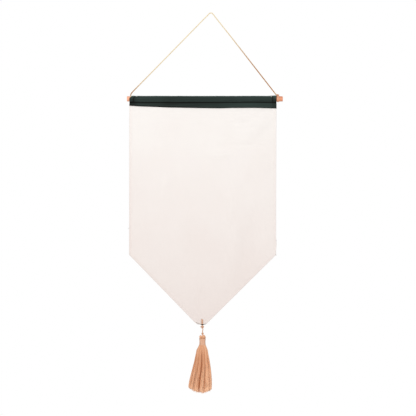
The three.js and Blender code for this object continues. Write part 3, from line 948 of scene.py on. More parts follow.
# ---------------------------------------------------------------- the pennant panel
@dataclass
class PennantPanel:
    """The ivory canvas panel with its turned hems and their stitching.

    No hole is cut for the hanger: its strands pass through the closed sheet just above the tip.

    Attributes:
        sizes: outline and hems.
        thickness: of the single cloth, in mm.
        hem_front: how far the hem stands out in front, in mm.
        hem_back: how far it stands out behind, in mm.
        seam_in: distance of the seam from the hem's inner edge, in mm.
        seam_sink: how deep the seam draws in each face, in mm.
        seam_drift: how far the slanted seams run out towards the edge by the tip, in mm.
        slack: height of the slow unevenness of the field, in mm.
        hem_pucker: height of the finer unevenness beside the hems, in mm.
        columns: columns of the mesh.
        body_rows: rows above the corners.
        point_rows: rows below them.
        stitch: length of a stitch, in mm.
        stitch_gap: distance between stitches, in mm.
        stitch_radius: radius of the thread, in mm.
        bow: how far a stitch stands off the cloth at even steps along it, in mm.
        hem_columns: distances of the first columns from each edge, in mm.
        tip_rows: heights of the last rows above the tip, in mm.
        hem_painted_shade: painted shade along the left and the right hem, added to the tone.
        tip_painted_shade: tone at the tip, painted shade that deepens down the cloth; the top's is 0.
        thread_ends: loose threads at the hems, (x, z, way out).
    """

    sizes: PanelSizes = field(default_factory=PanelSizes)
    thickness: float = 0.8
    hem_front: float = 0.14
    hem_back: float = 0.45
    seam_in: float = 1.2
    seam_sink: float = 0.1
    seam_drift: float = 5.5
    slack: float = 0.22
    hem_pucker: float = 0.07
    columns: int = 150
    body_rows: int = 118
    point_rows: int = 76
    stitch: float = 2.4
    stitch_gap: float = 0.9
    stitch_radius: float = 0.16
    bow: tuple = (-0.28, -0.02, 0.1, 0.13, 0.1, -0.02, -0.28)
    hem_columns: tuple = (0, 0.15, 0.45, 0.9, 2.4, 4.2, 5.2, 5.8, 6.4, 7.0, 7.6, 9.0)
    tip_rows: tuple = (4, 3, 2.1, 1.4, 0.85, 0.45, 0.2, 0.07, 0)
    hem_painted_shade: tuple = (0.3, 0.15)
    tip_painted_shade: float = 0.95
    thread_ends: tuple = ((-150.2, -263.0, -1.0), (148.9, -287.5, 1.0), (148.6, -317.0, 1.0))

    def edges(self, z: Array) -> tuple:
        """Left and right edge at each height: straight sides, slanted below the corners, blunt tip.

        Args:
            z: heights, in mm.

        Returns:
            (x of the left edge, x of the right edge) at each height.
        """
        p = self.sizes
        down = np.clip((p.corner - z) / (p.corner - p.tip), 0, 1)
        heights, reach = np.array(p.right_edge).T
        side = np.interp(z, heights, reach)
        left = p.left + (p.tip_left - p.left) * down
        right = np.where(down > 0, reach[0] + (p.tip_right - reach[0]) * down, side)
        height = np.clip((z - p.tip) / p.round_height, 0, 1)
        rounding = 1 - np.sqrt(1 - (1 - height) ** 2)
        return left + rounding * p.round_left, right - rounding * p.round_right

    def inset(self, x: Array, z: Array) -> Array:
        """Distance from the nearest edge, square to it.

        Args:
            x: places across, in mm.
            z: places up, in mm.

        Returns:
            Distance in mm.
        """
        left, right = self.edges(z)
        slant = np.where(z < self.sizes.corner, math.sqrt(0.5), 1.0)
        return np.minimum(x - left, right - x) * slant

    def depth(self, x: Array, z: Array) -> Array:
        """Distance of the cloth's middle from the hanging plane: the folds plus a little unevenness.

        Args:
            x: places across, in mm.
            z: places up, in mm.

        Returns:
            y of the cloth's middle, in mm.
        """
        p = self.sizes
        folds = sum(fold.depth(x, z) for fold in FOLDS)
        spot = np.stack([x, z], -1)
        folds = folds + self.slack * unevenness(spot, (60.0, 75.0), 3)
        beside_hem = bell(self.inset(x, z) - p.hem, 3.0)
        folds = folds + self.hem_pucker * beside_hem * unevenness(spot, (11.0, 11.0), 5)
        under = smooth(-z, -p.flat_above, -p.folds_below)
        return folds * under * smooth(z, p.tip, p.tip + p.taut_near_tip)

    def faces(self, x: Array, z: Array) -> tuple:
        """Front and back of the cloth at x, z.

        The hem is folded to the back, so it thickens the back more than the front. Close to the edge
        both faces round into the fold.

        Args:
            x: places across, in mm.
            z: places up, in mm.

        Returns:
            (front y, back y).
        """
        p = self.sizes
        inset = self.inset(x, z)
        middle = self.depth(x, z)
        shown = smooth(-z, -p.flat_above, -p.folds_below)
        hem = (1 - smooth(inset, p.hem - 0.5, p.hem + 0.5)) * shown
        sink = self.seam_sink * bell(inset - p.hem + self.seam_in, 0.5) * shown
        share = edge_round(inset, 0.6, 0.02)
        half = self.thickness / 2
        front = middle - (half + self.hem_front * hem - sink) * share
        back = middle + (half + self.hem_back * hem - sink) * share
        return front, back

    def columns_at(self, z: Array) -> Array:
        """Places of the columns in each row: close together in the hems, even between them.

        Args:
            z: (rows,) heights, in mm.

        Returns:
            (rows, columns) places across, in mm.
        """
        left, right = self.edges(z)
        near = np.array(self.hem_columns)
        slant = np.where(z < self.sizes.corner, math.sqrt(2), 1.0)
        squeeze = np.minimum(1.0, (right - left) / (2.6 * near[-1] * slant))
        hem = near[None] * (slant * squeeze)[:, None]
        count = self.columns - 2 * len(near) + 2
        even = np.linspace(0, 1, count)[None, 1:-1]
        start, stop = left + hem[:, -1], right - hem[:, -1]
        between = start[:, None] + (stop - start)[:, None] * even
        return np.concatenate([left[:, None] + hem, between, right[:, None] - hem[:, ::-1]], 1)

    def surface(self) -> Surface:
        """The panel's sheet, its rows close together at the tip.

        Returns:
            The closed sheet.
        """
        p = self.sizes
        low = p.tip + np.array(self.tip_rows)
        body = np.linspace(p.top, p.corner, self.body_rows, endpoint=False)
        point = np.linspace(p.corner, low[0], self.point_rows, endpoint=False)
        z = np.concatenate([body, point, low])
        x = self.columns_at(z)
        z = np.broadcast_to(z[:, None], x.shape)
        front, back = self.faces(x, z)
        sheet = Surface.sheet(spots(x, front, z), spots(x, back, z), np.stack([x, z], -1))
        # Painted shade: a darker band just inside each hem, and the cloth painted deeper from the top down to
        # the tip.
        edge = np.where(x < 0, *self.hem_painted_shade) * bell(self.inset(x, z) - 2.6, 2.0)
        tone = (np.interp(-z, (-p.flat_above, -p.tip), (0.0, self.tip_painted_shade)) + edge).ravel()
        sheet.tone = np.concatenate([tone, tone])
        return sheet

    def stitches(self) -> Surface:
        """One short bowed thread per stitch along both hems, on the front and on the back.

        Returns:
            All the threads as one surface.
        """
        p = self.sizes
        line = p.hem - self.seam_in
        slant = line * math.sqrt(2) - self.seam_drift
        start, corner, below, tip = p.flat_above + 1, p.corner + 2, p.corner - 1, p.tip + 9
        heights = np.linspace(start, corner, 90)
        reach = np.interp(heights, *np.array(p.right_edge).T) - line
        routes = (
            [(p.left + line, start), (p.left + line, corner)],
            [(p.left + line + 1.5, below), (p.tip_left + slant, tip)],
            np.stack([reach, heights], -1),
            [(p.right_edge[0][1] - line - 1.5, below), (p.tip_right - slant, tip)],
        )
        step = self.stitch + self.stitch_gap
        runs = []
        for route in map(np.array, routes):
            gaps = run_along(route)
            starts = np.arange(0, gaps[-1] - step, step)
            at = starts[:, None] + np.linspace(0, self.stitch, len(self.bow))
            runs.append(np.stack([np.interp(at, gaps, route[:, 0]), np.interp(at, gaps, route[:, 1])], -1))
        x, z = np.moveaxis(np.concatenate(runs), -1, 0)
        front, back = self.faces(x, z)
        bow = np.array(self.bow)
        paths = np.concatenate([spots(x, front - bow, z), spots(x, back + bow, z)])
        return Surface.tubes(paths, self.stitch_radius, sides=6, tone=0.3)

    def build(self) -> None:
        """Make the panel, its hem stitches and its few loose threads."""
        panel = add_piece(self.surface(), "pennant_canvas", Finish.CANVAS, "canvas", "canvas_panel")
        stitches = add_piece(self.stitches(), "hem_stitches", Finish.IVORY_THREAD, "canvas")
        ends = add_piece(self.loose_threads(), "loose_threads", Finish.DARK_THREAD, "canvas")

    def loose_threads(self) -> Surface:
        """Short ends of thread that stand out of the side hems.

        Returns:
            The threads as one surface.
        """
        start_x, start_z, out = np.array(self.thread_ends).T[..., None]
        t = np.linspace(0, 1, 8)
        curl = np.random.default_rng(8).uniform(-0.6, 0.6, (len(self.thread_ends), 1))
        front, _ = self.faces(start_x, start_z)
        y = front - 0.2 - 0.5 * np.sin(2.4 * t)
        z = start_z - 1.6 * t + curl * t * t
        return Surface.tubes(spots(start_x + out * 1.3 * t, y, z), radii=0.22, sides=6, tone=0.5)


# ---------------------------------------------------------------- the heading
@dataclass
class Heading:
    """The dark green strip folded over the dowel: pocket, stitched crease and flanges.

    Attributes:
        left: x of its left end.
        right: x of its right end.
        crease: height of the stitched crease.
        pocket: inner radius of the pocket.
        thickness: of the single cloth.
        crease_inside: distance of the inner face from the hanging plane at the crease.
        flange_inside: the same on the flanges.
        turned_in: extra thickness of the flange's turned-in lower part.
        flare: how far the pocket opens at its left mouth.
        end_slant: how far the left end is cut back at the top.
        end_hem: extra thickness of the hem at each end.
        hem_line: distance of that hem's stitching from the end.
        gather: distance of the gathers beside the hem from the end.
        columns: columns of the mesh.
        end_columns: distances of the first columns from the end.
        even_from: distance from the end where the even columns begin.
        edge: lower edge of the flanges, (x, z).
        stitch: length of a stitch.
        stitch_step: distance from stitch to stitch.
        bow: how deep a stitch sinks at even steps along it.
        tack_places: x of the tack stitches over the top fold.
        tack_arc: angle round the dowel where a tack begins and ends, in degrees.
        ripples: relief of the whole strip, (height, reach along and round, seed).
        shades: tones of the pocket, the flange, the crease and the end seam; those of the flange and the
            crease are painted shade.
        flat: length and width of the strip before it is folded, in metres.
    """

    left: float = -149.1
    right: float = 150.3
    crease: float = -7.4
    pocket: float = 5.4
    thickness: float = 0.7
    crease_inside: float = 0.3
    flange_inside: float = 1.0
    turned_in: float = 0.35
    flare: float = 1.8
    end_slant: float = 5.0
    end_hem: float = 0.35
    hem_line: float = 8.6
    gather: float = 12.0
    columns: int = 300
    end_columns: tuple = (0, 0.1, 0.35, 0.8, 1.6, 2.6, 4, 5.5, 7, 8.5, 10, 12, 14, 17)
    even_from: float = 20
    edge: tuple = (
        (-150.0, -14.0),
        (-128.0, -15.3),
        (-79.0, -17.3),
        (-13.0, -18.7),
        (35.0, -19.3),
        (60.0, -18.7),
        (109.0, -18.5),
        (150.3, -19.6),
    )
    stitch: float = 2.2
    stitch_step: float = 3.1
    bow: tuple = (0.2, -0.02, -0.14, -0.17, -0.14, -0.02, 0.2)
    tack_places: tuple = (-134.9, -134.1, 138.6, 139.5, 140.4)
    tack_arc: tuple = (40, 66)
    ripples: tuple = ((0.16, (70.0, 6.0), 21), (0.1, (14.0, 5.0), 22))
    shades: tuple = (0.76, 0.8, 0.46, 0.4)
    flat: tuple = (0.320, 0.052)

    def lower(self, x: Array) -> Array:
        """Height of the flanges' lower edge at each x."""
        return np.interp(x, *np.array(self.edge).T)

    def section(self) -> tuple:
        """Where each row of the strip lies: its side, its share down the flange and its angle.

        Returns:
            (side, flange share or -1, angle in degrees), each (rows,).
        """
        down = np.concatenate([[1, 0.985, 0.955, 0.9], np.linspace(0.82, 0.06, 12), [0.03, 0.0]])
        angles = np.linspace(-43, 90, 27)
        flange = np.concatenate([down, np.full(2 * len(angles) - 1, -1.0), down[::-1]])
        angle = np.concatenate([np.zeros(len(down)), angles, angles[-2::-1], np.zeros(len(down))])
        middle = len(down) + len(angles) - 1
        side = np.where(np.arange(len(flange)) < middle, -1.0, 1.0)
        return side, flange, angle

    def end_slants(self, side: Array, angle: Array) -> Array:
        """How far the left end is cut back at each angle round the pocket, in front and behind.

        Args:
            side: -1 in front, 1 behind.
            angle: angle round the dowel, in degrees.

        Returns:
            Distance in mm.
        """
        front = self.end_slant * smooth(angle, 0, 56)
        back = (self.end_slant + 3.5 * smooth(90 - angle, 0, 30)) * smooth(angle, -60, -30)
        return np.where(side < 0, front, back)

    def face(self, rows: tuple, station: Array, out: float) -> Array:
        """One face of the strip.

        In the pocket a point stands at the pocket's radius round the dowel; on a flange it stands a
        little off the hanging plane. Both get a slight random relief drawn out along the strip.

        Args:
            rows: each row's side, share down the flange and angle, as from section.
            station: (1, columns) distance of each column from the left end.
            out: 1 for the outer face, 0 for the inner.

        Returns:
            (rows, columns, 3) points.
        """
        side, flange, angle = (row[:, None] for row in rows)
        turn = np.radians(angle)
        in_pocket = flange < 0
        down = np.clip(flange, 0, 1)
        from_end = np.minimum(station, self.right - self.left - station)
        x = self.left + station + self.end_slants(side, angle) * in_pocket * (1 - smooth(station, 0, 20))

        # Soft relief: long ripples, puckers at the stitches and waves down the flanges.
        run = np.where(in_pocket, turn * self.pocket * side * -1, 12 + down * 12) * side
        spot = np.stack(np.broadcast_arrays(x, run), -1)
        relief = sum(height * unevenness(spot, reach, seed) for height, reach, seed in self.ripples)
        pucker = 0.12 * np.cos(TURN * x / self.stitch_step) * bell(down, 0.12) * ~in_pocket
        wave = 0.45 * smooth(down, 0.1, 1.0) * (unevenness(x[..., None], (42.0,), 23) + 1.0)

        # Thickness: the end hem drawn in at its seam, the turned-in lower part and the rounded edges.
        hem = self.end_hem * (1 - smooth(from_end, 9.2, 10.4)) - 0.12 * bell(from_end - self.hem_line, 0.5)
        folded = self.turned_in * smooth(down, 0.35, 0.5) * (down < 0.99)
        cut = np.where(in_pocket, 1.0, np.sqrt(np.clip(1 - smooth(down, 0.97, 1.0), 0.05, 1)))
        thick = (self.thickness + hem + folded) * out * edge_round(from_end, 0.5, 0.03) * cut
        inside = self.crease_inside + (self.flange_inside - self.crease_inside) * smooth(down, 0, 0.2)
        y_flange = side * (inside + thick + (wave + relief * 0.8 + pucker) * (0.3 + 0.7 * out))
        z_flange = self.crease + (self.lower(x) - self.crease) * down

        # The pocket: open at its left mouth, gathered beside the hems and puffed at the right.
        mouth = self.flare * (1 - smooth(station, 3.5, 9)) * (1 - 0.8 * smooth(angle, 40, 66))
        gather = 0.35 * bell(from_end - self.gather, 1.5) * smooth(angle, 35, 80)
        puff = (0.5 * smooth(x, 130, 146) - 0.4 * smooth(-x, 130, 139)) * smooth(angle, 40, 90)
        reach = self.pocket + mouth + thick + (np.clip(relief, -0.2, 0.5) + gather + puff) * out
        y = np.where(in_pocket, side * reach * np.cos(turn), y_flange)
        return spots(x, y, np.where(in_pocket, reach * np.sin(turn), z_flange))

    def surface(self) -> Surface:
        """The strip's sheet: both faces, with six more rows on the pocket's side of each crease.

        Returns:
            The closed sheet.
        """
        rows = self.section()
        span = self.right - self.left
        ends = np.array(self.end_columns)
        even = np.linspace(self.even_from, span - self.even_from, self.columns - 2 * len(ends))
        station = np.concatenate([ends, even, span - ends[::-1]])[None]
        faces = [self.face(rows, station, out) for out in (1.0, 0.0)]

        first, second = np.flatnonzero(rows[1] == 0)
        extra = np.linspace(0.15, 0.9, 6)
        finer = np.sort(np.concatenate([np.arange(len(rows[1])), first + extra, second - extra]))
        low = np.clip(finer.astype(int), 0, len(rows[1]) - 2)
        share = (finer - low)[:, None, None]
        outer, inner = (grid[low] + (grid[low + 1] - grid[low]) * share for grid in faces)
        down = -run_along(outer[:, self.columns // 2])[:, None]
        chart = np.stack(np.broadcast_arrays(outer[..., 0], down), -1)
        cloth = Surface.sheet(outer[::-1], inner[::-1], chart[::-1])
        from_end = np.minimum(station, span - station)
        tone = self.tone(outer[..., 0], outer[..., 2], from_end)[::-1].ravel()
        cloth.tone = np.concatenate([tone, tone])
        return cloth

    def tone(self, x: Array, z: Array, from_end: Array) -> Array:
        """Shade of the cloth, with painted light and shade: a painted highlight over the top and low on the
        front of the pocket's left half, and painted shade along the crease, the cut edge and the flange,
        deepest at its left.

        Args:
            x: place along the strip.
            z: height from the dowel's axis.
            from_end: distance from the nearer end.

        Returns:
            Tone of each point, 0 to 1.
        """
        pocket_shade, flange_painted_shade, crease_painted_shade, seam_shade = self.shades
        # Painted light and shade: a highlight over the pocket's top and low on its left front, shade along
        # the cut edge, on the flange, deeper at its left, and along the crease.
        painted_glow = 0.1 * (1 - smooth(x, -20, 100)) * bell(z + 4.9, 1.3)
        pocket = pocket_shade - 0.47 * smooth(z, 2.8, 5.9) - painted_glow
        cut_edge_painted_shade = 0.16 * (1 - smooth(z - self.lower(x), 0.6, 2.2))
        flange = flange_painted_shade - 0.1 * smooth(x, -60, 120) + cut_edge_painted_shade
        base = flange + (pocket - flange) * smooth(z, -7.6, -6.4)
        crease = crease_painted_shade * bell(z - self.crease, 0.85)
        seam = seam_shade * bell(from_end - 8.2, 0.8) * smooth(z, -7, -4.5)
        gather = 0.14 * (1 - smooth(from_end, 6.6, 7.6)) * smooth(z, -2.5, 1.5)
        streak = 0.05 * unevenness(np.stack([x, z], -1), (60.0, 2.2), 25)
        left_corner = 0.1 * smooth(-x, 132, 140) * smooth(4.5 - z, 0, 3)
        right_corner = 0.1 * smooth(x, 139, 144) * smooth(5.0 - z, 0, 3)
        return np.clip(base + crease + seam - gather + streak + left_corner + right_corner, 0, 1)

    def stitches(self) -> Surface:
        """Stitches along the crease, on the front and the back.

        Returns:
            All the threads as one surface.
        """
        starts = np.arange(self.left + 1.5, self.right - 3, self.stitch_step)[:, None]
        x = starts + np.linspace(0, self.stitch, len(self.bow))
        z = self.crease - 0.25 + 0.08 * unevenness(x[..., None], (30.0,), 31)
        y = self.crease_inside + self.thickness + 0.15 - np.array(self.bow)
        paths = np.concatenate([spots(x, -y, z), spots(x, y, z)])
        return Surface.tubes(paths, radii=0.19, sides=6, tone=0.4)

    def tacks(self) -> Surface:
        """A few pale stitches over the ends of the top fold: short threads side by side, bent round it.

        Returns:
            The threads as one surface.
        """
        steps = 7
        angle = np.radians(np.linspace(*self.tack_arc, steps))
        reach = self.pocket + self.thickness + 0.5 - 0.4 * np.linspace(-1, 1, steps) ** 4
        x = np.array(self.tack_places)[:, None] + 0.3 * np.sin(angle)
        paths = spots(x, -reach * np.cos(angle), reach * np.sin(angle))
        return Surface.tubes(paths, radii=0.22, sides=6, tone=0.5)

    def build(self) -> None:
        cloth = add_piece(self.surface(), "heading_cloth", Finish.HEADING, "heading_cloth", "heading_band")
        thread = add_piece(self.stitches(), "crease_stitches", Finish.GREEN_THREAD, "heading_cloth")
        tacks = add_piece(self.tacks(), "end_tacks", Finish.IVORY_THREAD, "heading_cloth")


# ---------------------------------------------------------------- the dowel
@dataclass
class Dowel:
    """The round wooden rod with softened ends.

    Attributes:
        radius: of the rod, in mm.
        left: x of its left end.
        right: x of its right end.
        rounding: radius of its edges, in mm.
        sides: corners of each ring.
        end_zone: length of each end without middle rings, in mm.
        middle_rings: rings between the two ends.
        tones: tone at the left and the right end.
    """

    radius: float = 5.3
    left: float = -154.2
    right: float = 163.0
    rounding: float = 0.6
    sides: int = 72
    end_zone: float = 4
    middle_rings: int = 40
    tones: tuple = (0.22, 0.85)

    def build(self) -> None:
        """Turn the rod: circles along x whose radius follows a quarter circle at each end."""
        bend = np.linspace(0, math.pi / 2, 7)
        out = self.rounding * (1 - np.cos(bend))
        rise = self.radius - self.rounding + self.rounding * np.sin(bend)
        hub = np.array([0.25, 0.5, 0.75]) * rise[0]
        left_x = np.concatenate([np.full(len(hub), self.left), self.left + out])
        left_r = np.concatenate([hub, rise])
        middle = np.linspace(self.left + self.end_zone, self.right - self.end_zone, self.middle_rings)
        x = np.concatenate([left_x, middle, self.right + self.left - left_x[::-1]])
        reach = np.concatenate([left_r, np.full(self.middle_rings, self.radius), left_r[::-1]])
        angle = turn_steps(self.sides)
        rings = spots(x[:, None], reach[:, None] * np.cos(angle), reach[:, None] * np.sin(angle))
        rod = Surface.rings(rings[::-1])
        rod.tone = np.interp(rod.points[:, 0], (self.left, self.right), self.tones)
        add_piece(rod, "dowel_rod", Finish.WOOD, "wood", "dowel")


# ---------------------------------------------------------------- the tassel
@dataclass
class Hanger:
    """The cord that carries the tassel: doubled through the tip, knotted, and a single stem below.

    Attributes:
        cord: the doubled strands.
        single: the stem below the upper knot.
        thin: the small knot and the loose end.
        apart: distance between the two strands, in mm.
        loop: points of a strand behind the cloth, down to the knot, in mm.
        stem: points of the stem, in mm.
        tail: points of the loose end, in mm.
        upper_knot: middle of the knot below the tip, in mm.
        lower_knot: middle of the knot above the tassel, in mm.
        spacing: distance between the samples along each of them, in mm.
    """

    cord: TwistedCord = field(default_factory=lambda: TwistedCord(diameter=1.6, plies=2, lay=3.4, sides=8))
    single: TwistedCord = field(default_factory=lambda: TwistedCord(diameter=1.9, plies=2, lay=3.6, sides=8))
    thin: TwistedCord = field(default_factory=lambda: TwistedCord(diameter=1.5, plies=2, lay=3.0, sides=7))
    apart: float = 1.8
    loop: tuple = (
        (-1.1, 0.0, -449.0),
        (-1.1, 1.3, -449.6),
        (-1.1, 2.2, -451.2),
        (-1.0, 2.3, -454.6),
        (-0.7, 2.1, -458.6),
        (-0.5, 1.4, -461.2),
        (-0.4, 0.0, -464.4),
    )
    stem: tuple = (
        (-0.4, 0.0, -463.6),
        (-0.1, 0.0, -466.9),
        (0.5, 0.1, -469.0),
        (-0.1, -0.1, -472.5),
        (-0.6, 0.0, -475.0),
        (-0.2, 0.0, -477.4),
        (-0.5, 0.0, -479.4),
        (-0.5, 0.0, -484.5),
    )
    tail: tuple = ((-1.6, -0.3, -464.6), (-4.0, -0.8, -464.4), (-5.4, -1.0, -463.9))
    upper_knot: tuple = (-0.6, 0, -464.7)
    lower_knot: tuple = (-0.2, 0, -478.0)
    spacing: float = 0.25

    def build(self) -> None:
        """The strands behind the cloth are a piece of their own; those in front run on into the stem.
        """
        finish, slot = Finish.HANGER, "tassel_cord"
        routes = (self.loop, self.stem, self.tail)
        behind, stem, tail = (smooth_route(np.array(route), self.spacing) for route in routes)
        front = behind * (1, -1, 1)
        aside = np.array([self.apart / 2, 0.0, 0.0])
        shown = [self.cord.along(front - aside, 0.45), self.cord.along(front + aside, 0.3)]
        # The stem is painted lighter over its lower end, painted light where it goes down among the loops.
        shown.append(self.single.along(stem, np.interp(stem[:, 2], (-482, -478), (0.0, 0.5))))
        main = add_piece(Surface.join(shown), "hanger_cord", finish, slot, "tassel_hanger", "hanger_stem")
        hidden = Surface.join([self.cord.along(behind - aside, 0.3), self.cord.along(behind + aside, 0.5)])
        back = add_piece(hidden, "hanger_back_strands", finish, slot)
        end = self.thin.along(tail, tone=0.5, taper=(0.0, 1.2))
        large = self.cord.knot(self.upper_knot, size=0.92, stretch=(1.0, 0.9, 0.9), turn=0.3, tone=0.6)
        upper = add_piece(Surface.join([large, end]), "hanger_tied_knot", finish, slot, "hanger_knot")
        small = self.thin.knot(self.lower_knot, size=0.66, stretch=(1.1, 0.9, 0.9), turn=1.2, tone=0.7)
        lower = add_piece(small, "stem_tied_knot", finish, slot, "stem_knot")
        path = SITE.row(np.concatenate([front[:-4], stem]))


@dataclass
class Tassel:
    """Yarn looped over the stem's knot, bound at the neck and cut at the ends.

    Attributes:
        middle: x of the tassel's middle.
        trim: how far the strands lie inside the outline.
        clumps: how many clumps the strands gather in.
        clump_stand: least and greatest distance that a clump stands out.
        clump_shades: tone of the lightest and the deepest clump.
        stray_share: share of the strands that stray outward.
        strands: how many outer strands.
        steps: points along each of them.
        inner_count: how many inner strands.
        fibre_count: how many fine fibres stand off the sides, and as many hang below the cut.
        neck: height where the strands start.
        shoulder: height where the skirt begins to spread.
        cut: height of the outer strands' cut ends in the middle.
        inner_cut: the same for the inner strands.
        lift_height: how much higher the cut ends stand at the skirt's sides.
        lift_reach: distance to the left and to the right side.
        tip_reach: half width of the skirt at its cut ends.
        tip_middle: x of their middle.
        raggedness: spread of the cut ends' heights.
        loop_layers: the layers of loops over the knot, (share of the depth, how many loops).
        loop_top: height of the highest loop.
        loop_foot: height at which the loops go into the neck.
        loop_half: half width and half depth of the loops.
        wraps: turns of the binding.
        wrap_top: height of its first turn.
        wrap_height: from its first turn to its last.
        outline: left, right and half depth at each height, (z, left, right, depth).
        grooves: deep grooves in the skirt, (angle, half width, depth), angles in degrees.
    """

    middle: float = -0.5
    trim: float = 1.0
    clumps: int = 32
    clump_stand: tuple = (-1.5, 0.5)
    clump_shades: tuple = (0.2, 0.64)
    stray_share: float = 0.06
    strands: int = 640
    steps: int = 20
    inner_count: int = 420
    fibre_count: int = 620
    neck: float = -498.0
    shoulder: float = -503.0
    cut: float = -595.6
    inner_cut: float = -587.0
    lift_height: float = 10.0
    lift_reach: tuple = (29.0, 23.0)
    tip_reach: float = 23.6
    tip_middle: float = -5.2
    raggedness: float = 1.1
    loop_layers: tuple = ((1.0, 17), (0.78, 13), (0.52, 9))
    loop_top: float = -480.9
    loop_foot: float = -489.0
    loop_half: tuple = (6.0, 5.0)
    wraps: int = 26
    wrap_top: float = -487.6
    wrap_height: float = 13.9
    outline: tuple = (
        (-481.6, -4.6, 3.6, 3.2),
        (-482.6, -6.6, 5.6, 5.0),
        (-484.6, -7.3, 6.3, 5.8),
        (-486.4, -7.0, 6.0, 5.6),
        (-487.4, -5.8, 4.8, 4.8),
        (-495.0, -5.5, 4.5, 4.6),
        (-501.9, -5.8, 4.8, 4.8),
        (-503.2, -7.6, 6.2, 5.6),
        (-507.0, -10.4, 9.0, 7.2),
        (-511.4, -13.2, 11.0, 8.6),
        (-523.6, -15.6, 13.2, 10.4),
        (-536.0, -17.8, 15.3, 11.8),
        (-548.0, -21.2, 17.2, 13.0),
        (-560.3, -24.0, 18.8, 14.0),
        (-572.5, -27.0, 19.4, 14.8),
        (-584.0, -29.3, 19.6, 15.2),
        (-598.0, -29.6, 19.2, 15.2),
    )
    grooves: tuple = (
        (-92, 5, 4.5),
        (-73, 5, -1.3),
        (-62, 4, 0.7),
        (-52, 5, 0.4),
        (-109, 4, -0.7),
        (-124, 6, 1.3),
        (12, 10, 1.2),
        (75, 10, 2.2),
        (140, 11, 1.4),
    )

    def extents(self, z: Array) -> tuple:
        """Middle, half width and half depth of the outline at each height.

        Args:
            z: heights, in mm.

        Returns:
            (middle x, half width, half depth) at each height, in mm.
        """
        table = np.array(self.outline)[::-1]
        left, right, depth = (np.interp(z, table[:, 0], table[:, column]) for column in (1, 2, 3))
        return (left + right) / 2, (right - left) / 2, depth

    def groove(self, angle: Array) -> Array:
        """How far the skirt is cut in at each angle round it, in millimetres.

        Args:
            angle: angles round the tassel, in radians.

        Returns:
            Depth in mm.
        """
        cut = 0.0
        for centre, width, depth in self.grooves:
            away = (np.degrees(angle) - centre + 180) % 360 - 180
            cut = cut + depth * bell(away, width)
        return cut

    def lift(self, x: Array) -> Array:
        """How much higher the cut ends stand away from the tassel's middle."""
        away = x - self.middle
        return self.lift_height * (away / np.where(away < 0, *self.lift_reach)) ** 2

    def strand_paths(self, count: int, steps: int, shares: tuple, seed: int, low: float) -> tuple:
        """Strands from the neck to their cut ends.

        Each strand belongs to the nearest of some clumps: it leans towards the clump's middle angle as it
        hangs, and the clump stands in or out by its own amount. To this come the deep grooves, a slow
        wander and a stray strand here and there.

        Args:
            count: how many strands.
            steps: points along each.
            shares: least and greatest share of the outline's reach.
            seed: picks the strands.
            low: height of the cut ends in the tassel's middle.

        Returns:
            (paths (count, steps, 3), tones (count, steps)).
        """
        rng = np.random.default_rng(seed)
        angle = (np.arange(count) * GOLDEN % 1.0) * TURN - math.pi
        share = np.sqrt(rng.uniform(shares[0] ** 2, shares[1] ** 2, count))
        spacing = TURN / self.clumps
        middles = (np.arange(self.clumps) + rng.uniform(-0.32, 0.32, self.clumps)) * spacing - math.pi
        standing = rng.uniform(*self.clump_stand, self.clumps)
        shade = rng.uniform(*self.clump_shades, self.clumps)
        away = (angle[:, None] - middles + math.pi) % TURN - math.pi
        clump = np.abs(away).argmin(1)
        to_clump = -away[np.arange(count), clump]

        # Heights, down to the ragged cut.
        t = np.append(np.linspace(0, 0.995, steps - 1) ** 0.85, 1.0)
        ragged = self.lift(self.tip_reach * share * np.cos(angle) + self.tip_middle)
        ragged = ragged + 3.0 * smooth(np.sin(angle), 0.0, 0.6)
        end = low + ragged + rng.normal(0, self.raggedness, count)
        z = self.neck + (end - self.neck)[:, None] * t
        middle, half, depth = self.extents(z)
        loose = smooth(-z, 505, 570)
        spreading = smooth(-z, -self.shoulder, 535)

        # Angle round the tassel: drawn to the clump's middle, with a slow wander.
        phase = rng.uniform(0, TURN, (count, 2, 1))
        waves = rng.uniform(2.0, 5.0, (count, 1)) * t * TURN
        wander = 0.035 * np.sin(waves * 0.5 + phase[:, 0]) + 0.012 * np.sin(waves + phase[:, 1])
        wander = wander + rng.normal(0, 0.03, (count, 1))
        theta = angle[:, None] + (to_clump[:, None] * 0.5 + wander) * loose
        stray = (rng.random((count, 1)) < self.stray_share) * rng.uniform(0.3, 1.6, (count, 1)) * loose**2

        # Distance inside the outline: clumps stand out with a round top, grooves cut in.
        round_top = 0.8 * (1 - np.clip(np.abs(to_clump) * self.clumps / math.pi, 0, 1) ** 2)
        out = (standing[clump] + round_top)[:, None] * spreading
        grooves = self.groove(theta + 0.09 * smooth(-z, 540, 575))
        share = share[:, None]
        inward = self.trim * smooth(-z, -self.shoulder, 520) - out * share**2
        inward = inward + grooves * spreading * share**3 - stray
        x = middle + ((half - 0.3) * share - inward) * np.cos(theta)
        y = ((depth - 0.3) * share - inward) * np.sin(theta)

        # Tones: each clump's own shade, with painted light and shade on top: clumps that stand in are painted
        # darker, their round tops lighter, the grooves darker, and all strands lighter towards the cut and
        # down the skirt; the skirt's top is lighter too.
        tones = shade[clump] - 0.1 * standing[clump] - 0.12 * round_top + rng.uniform(-0.05, 0.05, count)
        tones = 0.18 + tones[:, None] + 0.16 * grooves * loose - 0.35 * smooth(t, 0.88, 1.0)
        tones = tones - 0.25 * smooth(-z, 515, 600) - 0.16 * smooth(z, -540, -505)
        return np.stack([x, y, z], -1), tones

